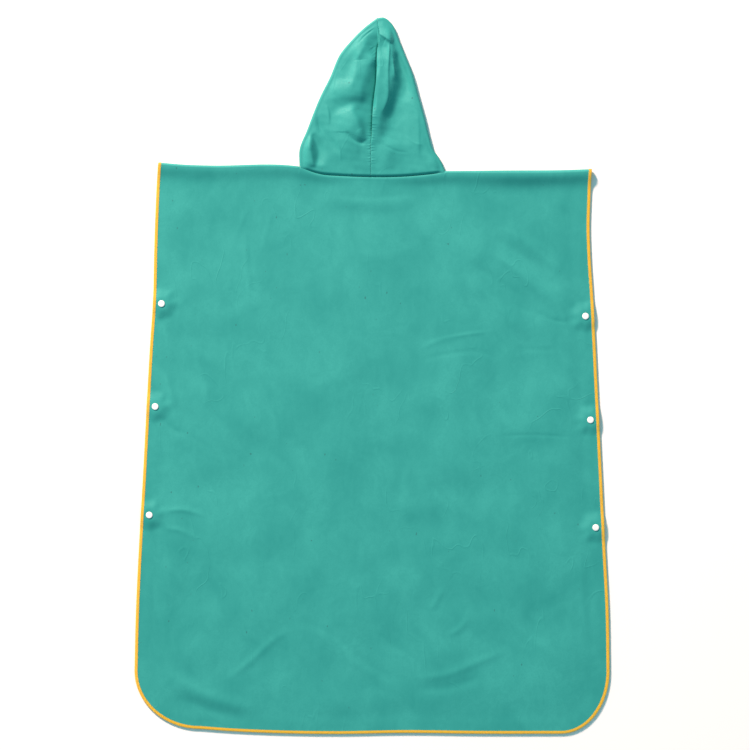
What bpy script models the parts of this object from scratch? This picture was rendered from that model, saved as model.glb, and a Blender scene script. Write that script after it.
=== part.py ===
"""Surf poncho of thin micro-suede cloth, laid flat on its front with its back upwards.

The scene is in metres: +X across the garment, +Y from the hem to the hood, +Z up from the
surface it lies on. The origin is on that surface, in the middle of the whole outline.

The sizes and tables are in millimetres on the garment as it lies: "across" is measured from
its centre line to the right, "up" from the line of the shoulders towards the hood, "down"
from that line towards the hem, and heights from the surface.
"""

import math
from collections import namedtuple

import bpy
import numpy as np

MM = 0.001

# The whole garment as it lies.
BODY_LENGTH = 1052.5
HOOD_LENGTH = 277.0

# Cloth and seams.
WALL = 1.2
SEAM_GAP = 0.3
EDGING_WIDTH = 5.0
EDGING_EXTRA = 0.6
EDGING_ROUND = 1.1
CLOTH_INSET = EDGING_WIDTH + SEAM_GAP

# Height of the back's upper side where it lies on the front, and how far it stands off the
# front towards the middle. Near the edge it is lifted to the level of the edging.
BACK_REST = 2 * WALL + SEAM_GAP
BODY_LOFT = 1.4
BODY_LOFT_REACH = 60.0
EDGE_LIFT_FROM = 12.0
EDGE_LIFT_TO = 32.0

# Outside radius of the soft rolls down the sides of the hood and at the ends of the neck, and
# the cloth that runs level into the turn beside the neck.
ROLL = 4.2
TURN_LEAD = 3.0

# Side edges: how far each lies from the centre line, at places down from the shoulder.
Side = namedtuple("Side", "down left right")
SIDES = (
    Side(-12, 396.5, 409),
    Side(20, 399, 407),
    Side(60, 401, 405.5),
    Side(110, 403, 404),
    Side(160, 404.5, 405.5),
    Side(247, 406.5, 411),
    Side(328, 412, 415),
    Side(453, 419, 421),
    Side(577, 425.5, 427),
    Side(700, 432.5, 433),
    Side(830, 438.5, 439.5),
    Side(935, 441, 441),
)

# Bottom corners: quarter ellipses below the end of each side.
Corner = namedtuple("Corner", "width depth")
LEFT_CORNER = Corner(122, 108)
RIGHT_CORNER = Corner(90, 117)

# Hem between the corners.
Hem = namedtuple("Hem", "across down")
HEM = (
    Hem(-319, 1043),
    Hem(-265, 1047),
    Hem(-202, 1050),
    Hem(-69, 1052.5),
    Hem(65, 1050.5),
    Hem(197, 1052),
    Hem(351, 1052),
)

# Shoulder edge outside the neck.
Shoulder = namedtuple("Shoulder", "across up")
SHOULDER = (
    Shoulder(-410, 9),
    Shoulder(-392, 8),
    Shoulder(-347, 4.5),
    Shoulder(-302, 3),
    Shoulder(-150, 3),
    Shoulder(-134.6, 1.3),
    Shoulder(135.6, -7.2),
    Shoulder(237, -6.5),
    Shoulder(377, -5),
    Shoulder(412, -3.5),
)

# Height of the soft roll along the shoulder, and of the seam across the back of the neck.
Loft = namedtuple("Loft", "across height")
SHOULDER_LOFT = (
    Loft(-412, 7.6),
    Loft(-270, 8.0),
    Loft(-134.6, 2 * ROLL),
    Loft(-60, 6.4),
    Loft(0, 5.8),
    Loft(60, 6.6),
    Loft(135.6, 2 * ROLL),
    Loft(260, 10.6),
    Loft(412, 8.8),
)
SHOULDER_FALL = 17.0

# Distance from the centre line at which the level of each shoulder's outer end is read.
SHOULDER_END = 400.0

# Neck: its outermost points, the way that the cloth turns there, and its two edges from the
# middle of the garment outwards.
Point = namedtuple("Point", "across up")
Neck = namedtuple("Neck", "corner outward back front")
NECK = {
    -1: Neck(
        Point(-134.6, 1.3),
        Point(-0.8, 0.6),
        (Point(-2, -18), Point(-30, -17.2), Point(-62, -15.6), Point(-96, -12.6), Point(-119, -6)),
        (Point(0, -75), Point(-45, -70), Point(-85, -54), Point(-118, -24)),
    ),
    1: Neck(
        Point(135.6, -7.2),
        Point(0.8, 0.6),
        (Point(-2, -18), Point(28, -18), Point(55, -17.2), Point(83, -15.2), Point(113, -12.2)),
        (Point(0, -75), Point(45, -71), Point(85, -57), Point(118, -30)),
    ),
}

# Hood outline from the neck to the crown, on each side.
HOOD_OUTLINE = {
    -1: (
        Point(-134.5, 32),
        Point(-121, 67),
        Point(-96, 130),
        Point(-78, 166),
        Point(-58, 211),
        Point(-37, 236),
        Point(-17, 256),
    ),
    1: (
        Point(126, 15),
        Point(114, 32),
        Point(106, 58),
        Point(97, 95),
        Point(86, 134),
        Point(75, 174),
        Point(63, 204),
        Point(50, 236),
        Point(36, 267),
        Point(22, 277.5),
    ),
}
CROWN = Point(9, 276.5)

# Centre seam up the back of the hood.
HOOD_SEAM = (
    Point(-2, -18),
    Point(-2, 18),
    Point(-2, 49),
    Point(1, 75),
    Point(3, 112),
    Point(9, 161),
    Point(10.5, 213),
    Point(13, 248),
    Point(11.5, 266),
)

# Edge of the opening for the face, in the hood's lower layer, from the front of the neck up.
FACE_EDGE = {
    -1: (Point(0, -75), Point(-28, -34), Point(-45, 20), Point(-44, 80), Point(-27, 135)),
    1: (Point(0, -75), Point(28, -36), Point(47, 18), Point(49, 80), Point(36, 135)),
}

# Loft of the hood over its rolled sides, how far in from them it is reached, and how far up
# from the neck seam. Folds start a little way in from both.
HOOD_LOFT = 13.0
HOOD_EDGE_FALL = 34.0
HOOD_NECK_FALL = 40.0
FOLDS_FROM_EDGE = 11.0
FOLDS_FROM_NECK = 9.0

# Level end of the hood before it turns under at the crown, and how firmly and how soon the
# turn at the sides swings round to the turns at its two ends.
CROWN_FLAT = 6.0
END_SWING = 12.0
END_SHARE = 0.05

# Folds: soft ridges (rise above 0) and troughs (below 0). Each follows its path, with its own
# width on the left and on the right of the way it runs, and dies away at both ends.
Fold = namedtuple("Fold", "rise left right path")
HOOD_FOLDS = (
    # Broad ridge down the left half, and the hollow between it and the seam.
    Fold(6.5, 12, 22, ((-14, 246), (-30, 215), (-41, 180), (-46, 142))),
    Fold(-8.5, 9, 11, ((-4, 208), (-8, 152), (-10, 106), (-6, 58))),
    # Dimple under the ridge, then the ridge and the trough down to the neck.
    Fold(-6.5, 10, 7, ((-68, 118), (-50, 129), (-32, 136))),
    Fold(5.0, 11, 16, ((-86, 146), (-79, 96), (-66, 50), (-52, 18))),
    Fold(-3.5, 8, 9, ((-102, 110), (-86, 70), (-70, 40))),
    # Sharp crest at the lower left, which falls steeply towards the middle.
    Fold(4.5, 5, 12, ((-119, 70), (-112, 41), (-103, 4))),
    Fold(-4.5, 11, 5, ((-112, 62), (-103, 40), (-96, 12))),
    # Pull towards the seam.
    Fold(2.5, 7, 6, ((-46, 58), (-22, 44), (-4, 33))),
    # Standing pleat right of the seam, the crescent hollow behind it and its outer rim.
    Fold(9.0, 4.5, 15, ((33, 262), (33, 232), (32, 202), (30, 171), (29, 134), (27, 104))),
    Fold(-10.0, 13, 12, ((42, 219), (52, 193), (54, 163), (49, 130), (35, 98), (14, 68))),
    Fold(5.0, 16, 11, ((52, 230), (66, 195), (73, 161), (72, 124), (60, 88), (38, 56))),
    # Low ridges towards the right-hand edge and the neck.
    Fold(3.0, 10, 12, ((83, 112), (85, 66), (84, 24))),
    Fold(2.5, 9, 9, ((22, 18), (61, 14), (100, 6))),
    Fold(3.0, 6, 9, ((104, 40), (113, 16), (121, 0))),
)

# The broadest folds of the back, all low.
BODY_FOLDS = (
    # Ridge and long trough across the lower left corner.
    Fold(2.6, 34, 26, ((-392, -900), (-291, -946), (-180, -985))),
    Fold(-1.8, 28, 28, ((-352, -968), (-281, -1000), (-170, -1020))),
    # Ridge inside the left edge between the two upper snaps.
    Fold(2.2, 30, 30, ((-366, -285), (-352, -365), (-356, -450))),
    # Ridge that runs down from the right shoulder towards the middle.
    Fold(2.6, 34, 30, ((190, -268), (285, -196), (385, -118))),
    # Faint ridges across the middle and above the hem.
    Fold(1.8, 30, 30, ((210, -512), (300, -497), (400, -507))),
    Fold(1.8, 32, 30, ((20, -906), (120, -925), (250, -905))),
    # Rise under the neck.
    Fold(2.0, 28, 30, ((-95, -66), (0, -80), (100, -66))),
)
FOLD_SAMPLES = 40
FOLD_END_SHARE = 0.3

# Snaps: where each pair is fastened down the sides, and the levels of its pieces.
Snap = namedtuple("Snap", "side number down")
SNAPS = (
    Snap("left", 1, 253.6),
    Snap("left", 2, 444.5),
    Snap("left", 3, 645.7),
    Snap("right", 1, 276.8),
    Snap("right", 2, 469.3),
    Snap("right", 3, 668.9),
)
SNAP_INSET = 16.4
CAP_RADIUS = 6.2
CAP_HEIGHT = 1.4
SOCKET_RADIUS = 5.0
SOCKET_HEIGHT = 2.5
FRONT_LIFT = CAP_HEIGHT + SEAM_GAP
SOCKET_BASE = FRONT_LIFT + WALL + SEAM_GAP
BACK_LIFT = SOCKET_BASE + SOCKET_HEIGHT + SEAM_GAP + WALL
BACK_CAP_BASE = BACK_LIFT + SEAM_GAP

# The cloth is level over a snap's pieces and meets its own level again further out.
SNAP_FLAT = 12.5
SNAP_REACH = 26.0

Profile = namedtuple("Profile", "radius height")
CAP_PROFILE = (
    Profile(CAP_RADIUS, 0),
    Profile(CAP_RADIUS, 0.45 * CAP_HEIGHT),
    Profile(0.84 * CAP_RADIUS, 0.85 * CAP_HEIGHT),
    Profile(0.45 * CAP_RADIUS, CAP_HEIGHT),
)
SOCKET_PROFILE = (
    Profile(SOCKET_RADIUS, 0),
    Profile(SOCKET_RADIUS, 0.5 * SOCKET_HEIGHT),
    Profile(0.8 * SOCKET_RADIUS, SOCKET_HEIGHT),
)
ROUND_SIDES = 12

# Steps between the rows and columns of points in the cloth: along each half of the neck,
# round each turn, up the hood and to the top of the opening for the face.
NECK_STEPS = 6
TURN_STEPS = 4
HOOD_ROWS = 24
FACE_TOP_ROW = 16

# A panel's columns near each side and its rows near each snap, from the edge and the snap,
# then the rows just below the shoulder. TURN_ROWS counts those that turn with the shoulder.
SNAP_COLUMNS = (4.1, 11.1, 18.6, 32.0)
SNAP_ROWS = (-24.0, -7.5, 0.0, 7.5, 24.0)
SHOULDER_ROWS = (14.0, 34.0)
TURN_ROWS = 4

# A panel's steps along a shoulder, between one snap or corner and the next, and round its turn.
Steps = namedtuple("Steps", "shoulder rows turn")
BACK_STEPS = Steps(6, (4, 4, 4, 6, 4), 3)
FRONT_STEPS = Steps(4, (1, 1, 1, 2, 4), 2)

# Points with which smooth curves are worked out.
CURVE_POINTS = 300
SIDE_POINTS = 120
CORNER_POINTS = 24
HEM_POINTS = 80
RIM_POINTS = 600
OUTLINE_POINTS = 200
NECK_POINTS = 60


# Curves -------------------------------------------------------------------------------------


def through(rows, at):
    """Value of the smooth curve through the rows (place, value), read at other places."""
    place, value = np.array(rows, float)[:, :2].T
    slope = np.gradient(value, place)
    left = np.clip(np.searchsorted(place, at, side="right") - 1, 0, len(place) - 2)
    span = place[left + 1] - place[left]
    t = (at - place[left]) / span
    start = value[left] * (1 + 2 * t) * (1 - t) ** 2 + slope[left] * span * t * (1 - t) ** 2
    end = value[left + 1] * t**2 * (3 - 2 * t) - slope[left + 1] * span * t**2 * (1 - t)
    return start + end


def reach(points):
    """Distance run along a path at each of its points."""
    return np.concatenate([[0], np.cumsum(np.linalg.norm(np.diff(points, axis=0), axis=1))])


def resample(points, shares):
    """Points at the given shares of a path's length."""
    run = reach(points)
    columns = [np.interp(np.asarray(shares) * run[-1], run, column) for column in points.T]
    return np.column_stack(columns)


def smooth_path(rows, shares):
    """Points at the given shares of the length of the smooth curve through the rows."""
    rows = np.array(rows, float)
    run = reach(rows)
    fine = np.linspace(0, run[-1], CURVE_POINTS)
    curve = [through(np.column_stack([run, column]), fine) for column in rows.T]
    return resample(np.column_stack(curve), shares)


def even(steps):
    return np.linspace(0, 1, steps + 1)


def ladder(stops, steps):
    """Places through every stop, with the given number of steps from each stop to the next."""
    runs = [np.linspace(a, b, n, endpoint=False) for a, b, n in zip(stops, stops[1:], steps)]
    return np.concatenate(runs + [stops[-1:]])


def unit(vectors):
    return vectors / np.linalg.norm(vectors, axis=-1, keepdims=True)


def level(vectors, across):
    """Unit vectors square to the direction across a seam, so that both its faces agree."""
    return unit(vectors - np.sum(vectors * across, axis=-1, keepdims=True) * across)


def soft_step(value):
    value = np.clip(value, 0, 1)
    return value * value * (3 - 2 * value)


def distance_to(path, points):
    """Distance from each plan point to the nearest point of a path."""
    return np.linalg.norm(points[..., None, :] - path, axis=-1).min(axis=-1)


def relief(points, folds):
    """Height that the folds add at plan points."""
    total = np.zeros(points.shape[:-1])
    for fold in folds:
        path = smooth_path(fold.path, even(FOLD_SAMPLES))
        heading = unit(np.gradient(path, axis=0))
        offset = points[..., None, :] - path
        nearest = np.linalg.norm(offset, axis=-1).argmin(axis=-1)
        away = np.take_along_axis(offset, nearest[..., None, None], axis=-2)[..., 0, :]
        along = heading[nearest]
        to_left = along[..., 0] * away[..., 1] - along[..., 1] * away[..., 0]
        width = np.where(to_left > 0, fold.left, fold.right)
        share = nearest / FOLD_SAMPLES
        ends = soft_step(np.minimum(share, 1 - share) / FOLD_END_SHARE)
        total += fold.rise * ends * np.exp(-np.sum(away**2, axis=-1) / width**2)
    return total


# Outline of the body ------------------------------------------------------------------------


def quarter(centre, width, depth, start):
    """Quarter ellipse below its centre, running anticlockwise from the given angle."""
    angles = np.radians(start + 90 * even(CORNER_POINTS))
    across = centre[0] + width * np.cos(angles)
    up = centre[1] + depth * np.sin(angles)
    return np.column_stack([across, up])


def rim(inset):
    """The body's outline moved in, from the left shoulder round the hem to the right one."""
    downs = np.linspace(SIDES[0].down, SIDES[-1].down, SIDE_POINTS)
    last = SIDES[-1]
    left = np.column_stack([-through([(s.down, s.left) for s in SIDES], downs), -downs])
    right = np.column_stack([through([(s.down, s.right) for s in SIDES], downs), -downs])
    left_centre = (LEFT_CORNER.width - last.left, -last.down)
    right_centre = (last.right - RIGHT_CORNER.width, -last.down)
    left_turn = quarter(left_centre, LEFT_CORNER.width, LEFT_CORNER.depth, 180)
    right_turn = quarter(right_centre, RIGHT_CORNER.width, RIGHT_CORNER.depth, 270)
    across = np.linspace(HEM[0].across, HEM[-1].across, HEM_POINTS)[1:-1]
    hem = np.column_stack([across, -through(HEM, across)])
    path = np.vstack([left[:-1], left_turn, hem, right_turn, right[::-1][1:]])
    path = resample(path, even(RIM_POINTS))
    heading = unit(np.gradient(path, axis=0))
    inwards = np.column_stack([-heading[:, 1], heading[:, 0]])
    return path + inset * inwards


def side_point(edge, side, up):
    """Point of an outline's left or right side at a level."""
    half = edge[edge[:, 0] * side > 0]
    half = half[np.argsort(half[:, 1])]
    return np.column_stack([np.interp(up, half[:, 1], half[:, 0]), np.atleast_1d(up)])


def snap_places():
    """Plan point of each snap, in the order of its table."""
    edge = rim(SNAP_INSET)
    sides = {"left": -1, "right": 1}
    return np.vstack([side_point(edge, sides[snap.side], -snap.down) for snap in SNAPS])


# Neck edge ----------------------------------------------------------------------------------

Seam = namedtuple("Seam", "points normals across turn")


def neck_edge(side):
    """Line that joins hood and body, from the middle of the back round the turn at the end of
    the neck to the middle of the front, with the cloth's normals, the direction from body to
    hood, and the angle through which the cloth has turned."""
    neck = NECK[side]
    outward = np.array(neck.outward)
    start = np.array(neck.corner) - ROLL * outward
    back = smooth_path(neck.back + (Point(*start),), even(NECK_STEPS))
    front = smooth_path(neck.front + (Point(*start),), even(NECK_STEPS))[::-1]
    angles = np.pi * even(TURN_STEPS)[1:-1]
    turn = start + ROLL * np.sin(angles)[:, None] * outward
    plan = np.vstack([back, turn, front])
    turned = np.concatenate([np.zeros(NECK_STEPS + 1), angles, np.full(NECK_STEPS + 1, np.pi)])
    height = ROLL * (1 + np.cos(turned))
    height[: NECK_STEPS + 1] = through(SHOULDER_LOFT, back[:, 0])
    height[NECK_STEPS] = 2 * ROLL
    points = np.column_stack([plan, height])
    normals = np.column_stack([np.sin(turned)[:, None] * outward, np.cos(turned)])
    heading = unit(np.gradient(points, axis=0))
    across = unit(np.cross(normals, heading))
    across *= np.sign(across[:, 1:2])
    return Seam(points, level(normals, across), across, turned)


# Walls --------------------------------------------------------------------------------------


def patch(left, right, bottom, top):
    """Plan points filling four edges: rows from bottom to top, columns from left to right."""
    u = (reach(bottom) / reach(bottom)[-1] + reach(top) / reach(top)[-1]) / 2
    v = (reach(left) / reach(left)[-1] + reach(right) / reach(right)[-1]) / 2
    u = u[None, :, None]
    v = v[:, None, None]
    sides = (1 - u) * left[:, None] + u * right[:, None]
    ends = (1 - v) * bottom[None] + v * top[None]
    low = (1 - u) * left[0] + u * right[0]
    high = (1 - u) * left[-1] + u * right[-1]
    return sides + ends - (1 - v) * low - v * high


def grid_normals(grid, upward):
    """Unit normals of a grid of points, up or down where the cloth lies level."""
    normals = np.cross(np.gradient(grid, axis=1), np.gradient(grid, axis=0))
    normals = unit(normals)
    middle = normals[normals.shape[0] // 2, : normals.shape[1] // 3, 2]
    return normals * np.sign(middle.mean()) * upward


def wall_faces(rows, columns):
    """Faces of a wall whose outer and inner skins are grids, the inner one listed second."""
    index = np.arange(rows * columns).reshape(rows, columns)
    inner = index + rows * columns
    outer_corners = [index[:-1, :-1], index[:-1, 1:], index[1:, 1:], index[1:, :-1]]
    inner_corners = [inner[:-1, :-1], inner[1:, :-1], inner[1:, 1:], inner[:-1, 1:]]
    loop = np.concatenate([index[0, :-1], index[:-1, -1], index[-1, :0:-1], index[:0:-1, 0]])
    after = np.roll(loop, -1)
    step_in = rows * columns
    border = np.column_stack([loop, loop + step_in, after + step_in, after])
    outer_skin = np.stack(outer_corners, axis=-1).reshape(-1, 4)
    inner_skin = np.stack(inner_corners, axis=-1).reshape(-1, 4)
    return np.vstack([outer_skin, inner_skin, border]).tolist()


def wall(name, grid, normals, material):
    """Cloth of even thickness under a grid of its outer side."""
    rows, columns = grid.shape[:2]
    outer = grid.reshape(-1, 3)
    inner = (grid - WALL * normals).reshape(-1, 3)
    return solid(name, np.vstack([outer, inner]), wall_faces(rows, columns), material)


def solid(name, points, faces, material):
    """Object from points in millimetres, its faces turned outwards."""
    mesh = bpy.data.meshes.new(name)
    mesh.from_pydata((np.asarray(points) * MM).tolist(), [], faces)
    if signed_volume(mesh) < 0:
        mesh.flip_normals()
    mesh.materials.append(material)
    mesh.shade_smooth()
    mesh.set_sharp_from_angle(angle=math.radians(40))
    return place(name, mesh, (0, 0, 0))


def signed_volume(mesh):
    mesh.calc_loop_triangles()
    corners = [[mesh.vertices[i].co for i in face.vertices] for face in mesh.loop_triangles]
    return sum(a.dot(b.cross(c)) for a, b, c in corners)


def place(name, mesh, at):
    """Object for a mesh, set on the garment's line of the shoulders."""
    piece = bpy.data.objects.new(name, mesh)
    bpy.context.scene.collection.objects.link(piece)
    piece.location = np.array(at) * MM
    piece.parent = bpy.data.objects["shoulder_line"]
    return piece


# Body panels --------------------------------------------------------------------------------

Ends = namedtuple("Ends", "points normals across turn radius")


def shoulder_end(across, face):
    """Where a panel meets the other along one shoulder: half way round the soft roll."""
    radius = through(SHOULDER_LOFT, across) / 2
    points = np.column_stack([across, through(SHOULDER, across), radius])
    normals = np.tile([0.0, 1.0, 0.0], (len(across), 1))
    towards_other = np.tile([0.0, 0.0, -float(face)], (len(across), 1))
    return Ends(points, normals, towards_other, np.full(len(across), np.pi / 2), radius)


def neck_end(face):
    """The panel's own part of the neck edge, from its left end to its right end."""
    split = NECK_STEPS + TURN_STEPS // 2
    from_middle = slice(None, split + 1) if face > 0 else slice(None, split - 1, -1)
    left, right = ([field[from_middle] for field in neck_edge(side)] for side in (-1, 1))
    points, normals, across, turn = (np.concatenate([a[::-1], b[1:]]) for a, b in zip(left, right))
    points[[0, -1], 2] += face * SEAM_GAP / 2
    turn = turn if face > 0 else np.pi - turn
    return Ends(points, normals, across, turn, np.full(len(points), ROLL))


def panel_top(edge, face, side_steps):
    """The whole upper end of a panel: left shoulder, neck and right shoulder."""
    neck = neck_end(face)
    outer_left = side_point(edge, -1, through(SHOULDER, -SHOULDER_END))[0, 0]
    outer_right = side_point(edge, 1, through(SHOULDER, SHOULDER_END))[0, 0]
    run_left = neck.points[0, 0] - outer_left
    run_right = outer_right - neck.points[-1, 0]
    stops = np.array([0, *SNAP_COLUMNS, run_left])
    shares = ladder(stops, [1] * len(SNAP_COLUMNS) + [side_steps])[:-1] / run_left
    left = shoulder_end(outer_left + shares * run_left, face)
    right = shoulder_end(outer_right - shares[::-1] * run_right, face)
    points, normals, across, turn, radius = (np.concatenate(fields) for fields in zip(left, neck, right))
    return Ends(points - across * SEAM_GAP / 2, normals, across, turn, radius)


def side_levels(side, top, bottom, counts):
    """Levels of a panel's rows down one side, with a group of them at each snap."""
    downs = [snap.down for snap in SNAPS if snap.side == side]
    near = [[down + offset for offset in SNAP_ROWS] for down in downs]
    below_top = [-top + down for down in (0, *SHOULDER_ROWS)]
    stops = np.array([*below_top, *near[0], *near[1], *near[2], SIDES[-1].down, -bottom])
    inner = [1] * (len(SNAP_ROWS) - 1)
    steps = [1, 1, counts[0], *inner, counts[1], *inner, counts[2], *inner, *counts[3:]]
    return -ladder(stops, steps)[::-1]


def panel_plan(face, steps):
    """Upper end and plan points of a panel below it, rows from the hem to the shoulder."""
    edge = rim(CLOTH_INSET)
    end = panel_top(edge, face, steps.shoulder)
    top = end.points[:, :2].copy()
    top[:, 1] -= end.radius * np.sin(end.turn) + TURN_LEAD * np.cos(end.turn)
    first, last = turn_middle(edge, -1), turn_middle(edge, 1)
    hem = edge[first : last + 1]
    left = side_point(edge, -1, side_levels("left", top[0, 1], hem[0, 1], steps.rows))
    right = side_point(edge, 1, side_levels("right", top[-1, 1], hem[-1, 1], steps.rows))
    top[[0, -1]] = left[-1], right[-1]
    bottom = resample(hem, hem_shares(top, reach(hem)[-1]))
    left[0], right[0] = bottom[0], bottom[-1]
    return end, patch(left, right, bottom, top)


def hem_shares(top, length):
    """Shares of the hem at which the columns end: as close to the sides as they are at the
    top, so that they run down past the snaps, and more evenly spread between."""
    near = len(SNAP_COLUMNS)
    middle = reach(top[near:-near])
    spread = (middle / middle[-1] + even(len(middle) - 1)) / 2
    inner = SNAP_COLUMNS[-1] + spread * (length - 2 * SNAP_COLUMNS[-1])
    outer = np.array([0, *SNAP_COLUMNS[:-1]])
    return np.concatenate([outer, inner, length - outer[::-1]]) / length


def turn_middle(edge, side):
    """Index of the outline's point half way round a bottom corner."""
    last = SIDES[-1]
    corner = LEFT_CORNER if side < 0 else RIGHT_CORNER
    half_way = math.sqrt(0.5)
    across = (last.left if side < 0 else last.right) - (1 - half_way) * corner.width
    middle = (side * across, -last.down - half_way * corner.depth)
    return int(np.linalg.norm(edge - middle, axis=1).argmin())


def snap_share(points):
    """How far the cloth is lifted round the snaps: 1 over their pieces, 0 away from them."""
    away = distance_to(snap_places(), points)
    return soft_step((SNAP_REACH - away) / (SNAP_REACH - SNAP_FLAT))


def back_height(plan):
    """Upper side of the back where it lies on the front, in a grid of plan points."""
    inside = distance_to(rim(CLOTH_INSET), plan)
    at_edge = soft_step((EDGE_LIFT_TO - inside) / (EDGE_LIFT_TO - EDGE_LIFT_FROM))
    folds = np.maximum(BODY_LOFT + relief(plan, BODY_FOLDS), 0)
    height = BACK_REST + EDGING_EXTRA * at_edge + folds * soft_step(inside / BODY_LOFT_REACH)
    below_end = plan[-1, :, 1] - plan[..., 1]
    at_shoulder = np.exp(-((below_end / SHOULDER_FALL) ** 2))
    height += (through(SHOULDER_LOFT, plan[..., 0]) - height) * at_shoulder
    return height + (BACK_LIFT - height) * snap_share(plan)


def front_height(plan):
    """Under side of the front: on the surface, lifted over the snaps' front caps."""
    return FRONT_LIFT * snap_share(plan)


def turn_row(end, face, share):
    """Row of points at a share of the way round the turn at a panel's upper end."""
    angle = end.turn * share
    lead = TURN_LEAD * np.cos(end.turn) * (1 - share)
    row = end.points.copy()
    row[:, 1] -= end.radius * (np.sin(end.turn) - np.sin(angle)) + lead
    row[:, 2] += face * end.radius * (np.cos(angle) - np.cos(end.turn))
    return row


def panel_grid(face, steps, height):
    """Outer side of a panel with its normals: the plan's rows, then those round the roll."""
    end, plan = panel_plan(face, steps)
    flat = np.dstack([plan, height(plan)])
    turn = np.stack([turn_row(end, face, share) for share in even(steps.turn)[1:]])
    grid = np.concatenate([flat, turn])
    normals = grid_normals(grid, face)
    normals[-1] = level(end.normals, end.across)
    square = level(border(normals), border_outward(grid))
    rows = len(grid)
    normals[::-1, 0] = square[:rows]
    normals[0, 1:-1] = square[rows:-rows]
    normals[:, -1] = square[-rows:]
    return grid, normals


# Overlocked edging --------------------------------------------------------------------------


def border(field):
    """Edge of a panel's grid: down its left side, along the hem and up its right side."""
    return np.concatenate([field[::-1, 0], field[0, 1:-1], field[:, -1]])


def border_outward(grid):
    """Level direction out of the panel all along its border."""
    edge = border(grid)
    neighbours = np.concatenate([grid[::-1, 1], grid[1, 1:-1], grid[:, -2]])
    heading = unit(np.gradient(edge[:, :2], axis=0) + 1e-9)
    outward = np.column_stack([heading[:, 1], -heading[:, 0], np.zeros(len(edge))])
    outward *= np.sign(np.sum(outward * (edge - neighbours), axis=1, keepdims=True))
    outward[:TURN_ROWS] = (-1, 0, 0)
    outward[-TURN_ROWS:] = (1, 0, 0)
    return outward


def edging(name, grid, normals, face, material):
    """Rounded strip outside a panel's sides and hem, made from the panel's own edge points."""
    edge = border(grid)
    normal = border(normals)
    outward = border_outward(grid)
    high = EDGING_EXTRA if face > 0 else 0.0
    low = high - WALL - EDGING_EXTRA
    near, far = SEAM_GAP, CLOTH_INSET
    round_from = far - EDGING_ROUND
    section = ((near, low), (near, high), (round_from, high), (far, (high + low) / 2), (round_from, low))
    rings = [edge + out * outward + rise * normal for out, rise in section]
    return tube(name, np.stack(rings, axis=1), material)


def tube(name, rings, material):
    """Closed strip through rings of points."""
    count, sides = rings.shape[:2]
    index = np.arange(count * sides).reshape(count, sides)
    quads = []
    for side in range(sides):
        other = (side + 1) % sides
        four = [index[:-1, side], index[:-1, other], index[1:, other], index[1:, side]]
        quads += np.column_stack(four).tolist()
    ends = [index[0, ::-1].tolist(), index[-1].tolist()]
    return solid(name, rings.reshape(-1, 3), quads + ends, material)


# Hood ---------------------------------------------------------------------------------------


def seam_path():
    """The hood's centre seam in plan, ending just short of the crown, and its last heading."""
    heading = unit(np.array(CROWN) - np.array(HOOD_SEAM[-2]))
    end = np.array(CROWN) - (ROLL + CROWN_FLAT) * heading
    return smooth_path(HOOD_SEAM[:-1] + (Point(*end),), even(HOOD_ROWS)), heading


def hood_outline(side, shares):
    """The hood's edge in plan on one side, from the end of the neck to the crown."""
    return smooth_path((NECK[side].corner,) + HOOD_OUTLINE[side] + (CROWN,), shares)


def fold_line(side, crown_heading):
    """Where the hood's upper layer starts to turn under, with the way that it turns."""
    neck_outward = np.array(NECK[side].outward)
    outline = hood_outline(side, even(HOOD_ROWS))
    heading = unit(np.gradient(outline, axis=0))
    outward = side * np.column_stack([heading[:, 1], -heading[:, 0]])
    share = even(HOOD_ROWS)[:, None]
    outward += END_SWING * neck_outward * np.exp(-((share / END_SHARE) ** 2))
    outward += END_SWING * crown_heading * np.exp(-(((1 - share) / END_SHARE) ** 2))
    outward[0] = neck_outward
    outward[-1] = crown_heading
    outward = unit(outward)
    return outline - ROLL * outward, outward


def hood_height(plan):
    """Upper side of the hood in plan points: its loft and folds, down to the roll and the neck."""
    outlines = np.vstack([hood_outline(side, even(OUTLINE_POINTS)) for side in (-1, 1)])
    backs = [neck_edge(side).points[: NECK_STEPS + 1, :2] for side in (-1, 1)]
    neck_line = np.vstack([resample(back, even(NECK_POINTS)) for back in backs])
    inside = np.maximum(distance_to(outlines, plan) - ROLL, 0)
    above = distance_to(neck_line, plan)
    neck_loft = through(SHOULDER_LOFT, plan[..., 0])
    free = 1 - np.exp(-((above / HOOD_NECK_FALL) ** 2))
    lofted = 1 - np.exp(-((inside / HOOD_EDGE_FALL) ** 2))
    height = neck_loft + (2 * ROLL - neck_loft + HOOD_LOFT * lofted) * free
    off_edge = 1 - np.exp(-((inside / FOLDS_FROM_EDGE) ** 2))
    off_neck = 1 - np.exp(-((above / FOLDS_FROM_NECK) ** 2))
    return height + off_edge * off_neck * relief(plan, HOOD_FOLDS)


def with_midpoints(rows):
    """Rows with the mean of each neighbouring pair set between them."""
    doubled = np.repeat(rows, 2, axis=0)[:-1]
    doubled[1::2] = (rows[:-1] + rows[1:]) / 2
    return doubled


def hood_neck(side):
    """The hood's row on the neck edge: points, normals and directions across the seam. Along
    the back it has a point between each two of the body's."""
    neck = neck_edge(side)
    fields = np.hstack([neck.points, neck.normals, neck.across])
    row = np.vstack([with_midpoints(fields[: NECK_STEPS + 1]), fields[NECK_STEPS + 1 :]])
    across = unit(row[:, 6:])
    return row[:, :3], level(row[:, 3:6], across), across


def hood_upper(seam, turn_line, back):
    """Upper layer of a half: from the centre seam to where it turns, up from the neck."""
    crown = resample(np.vstack([seam[-1], turn_line[-1]]), even(len(back) - 1))
    plan = patch(seam, turn_line, back[:, :2], crown)
    height = hood_height(plan)
    height[0] = back[:, 2]
    height[:, -1] = 2 * ROLL
    return np.dstack([plan, height])


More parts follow.
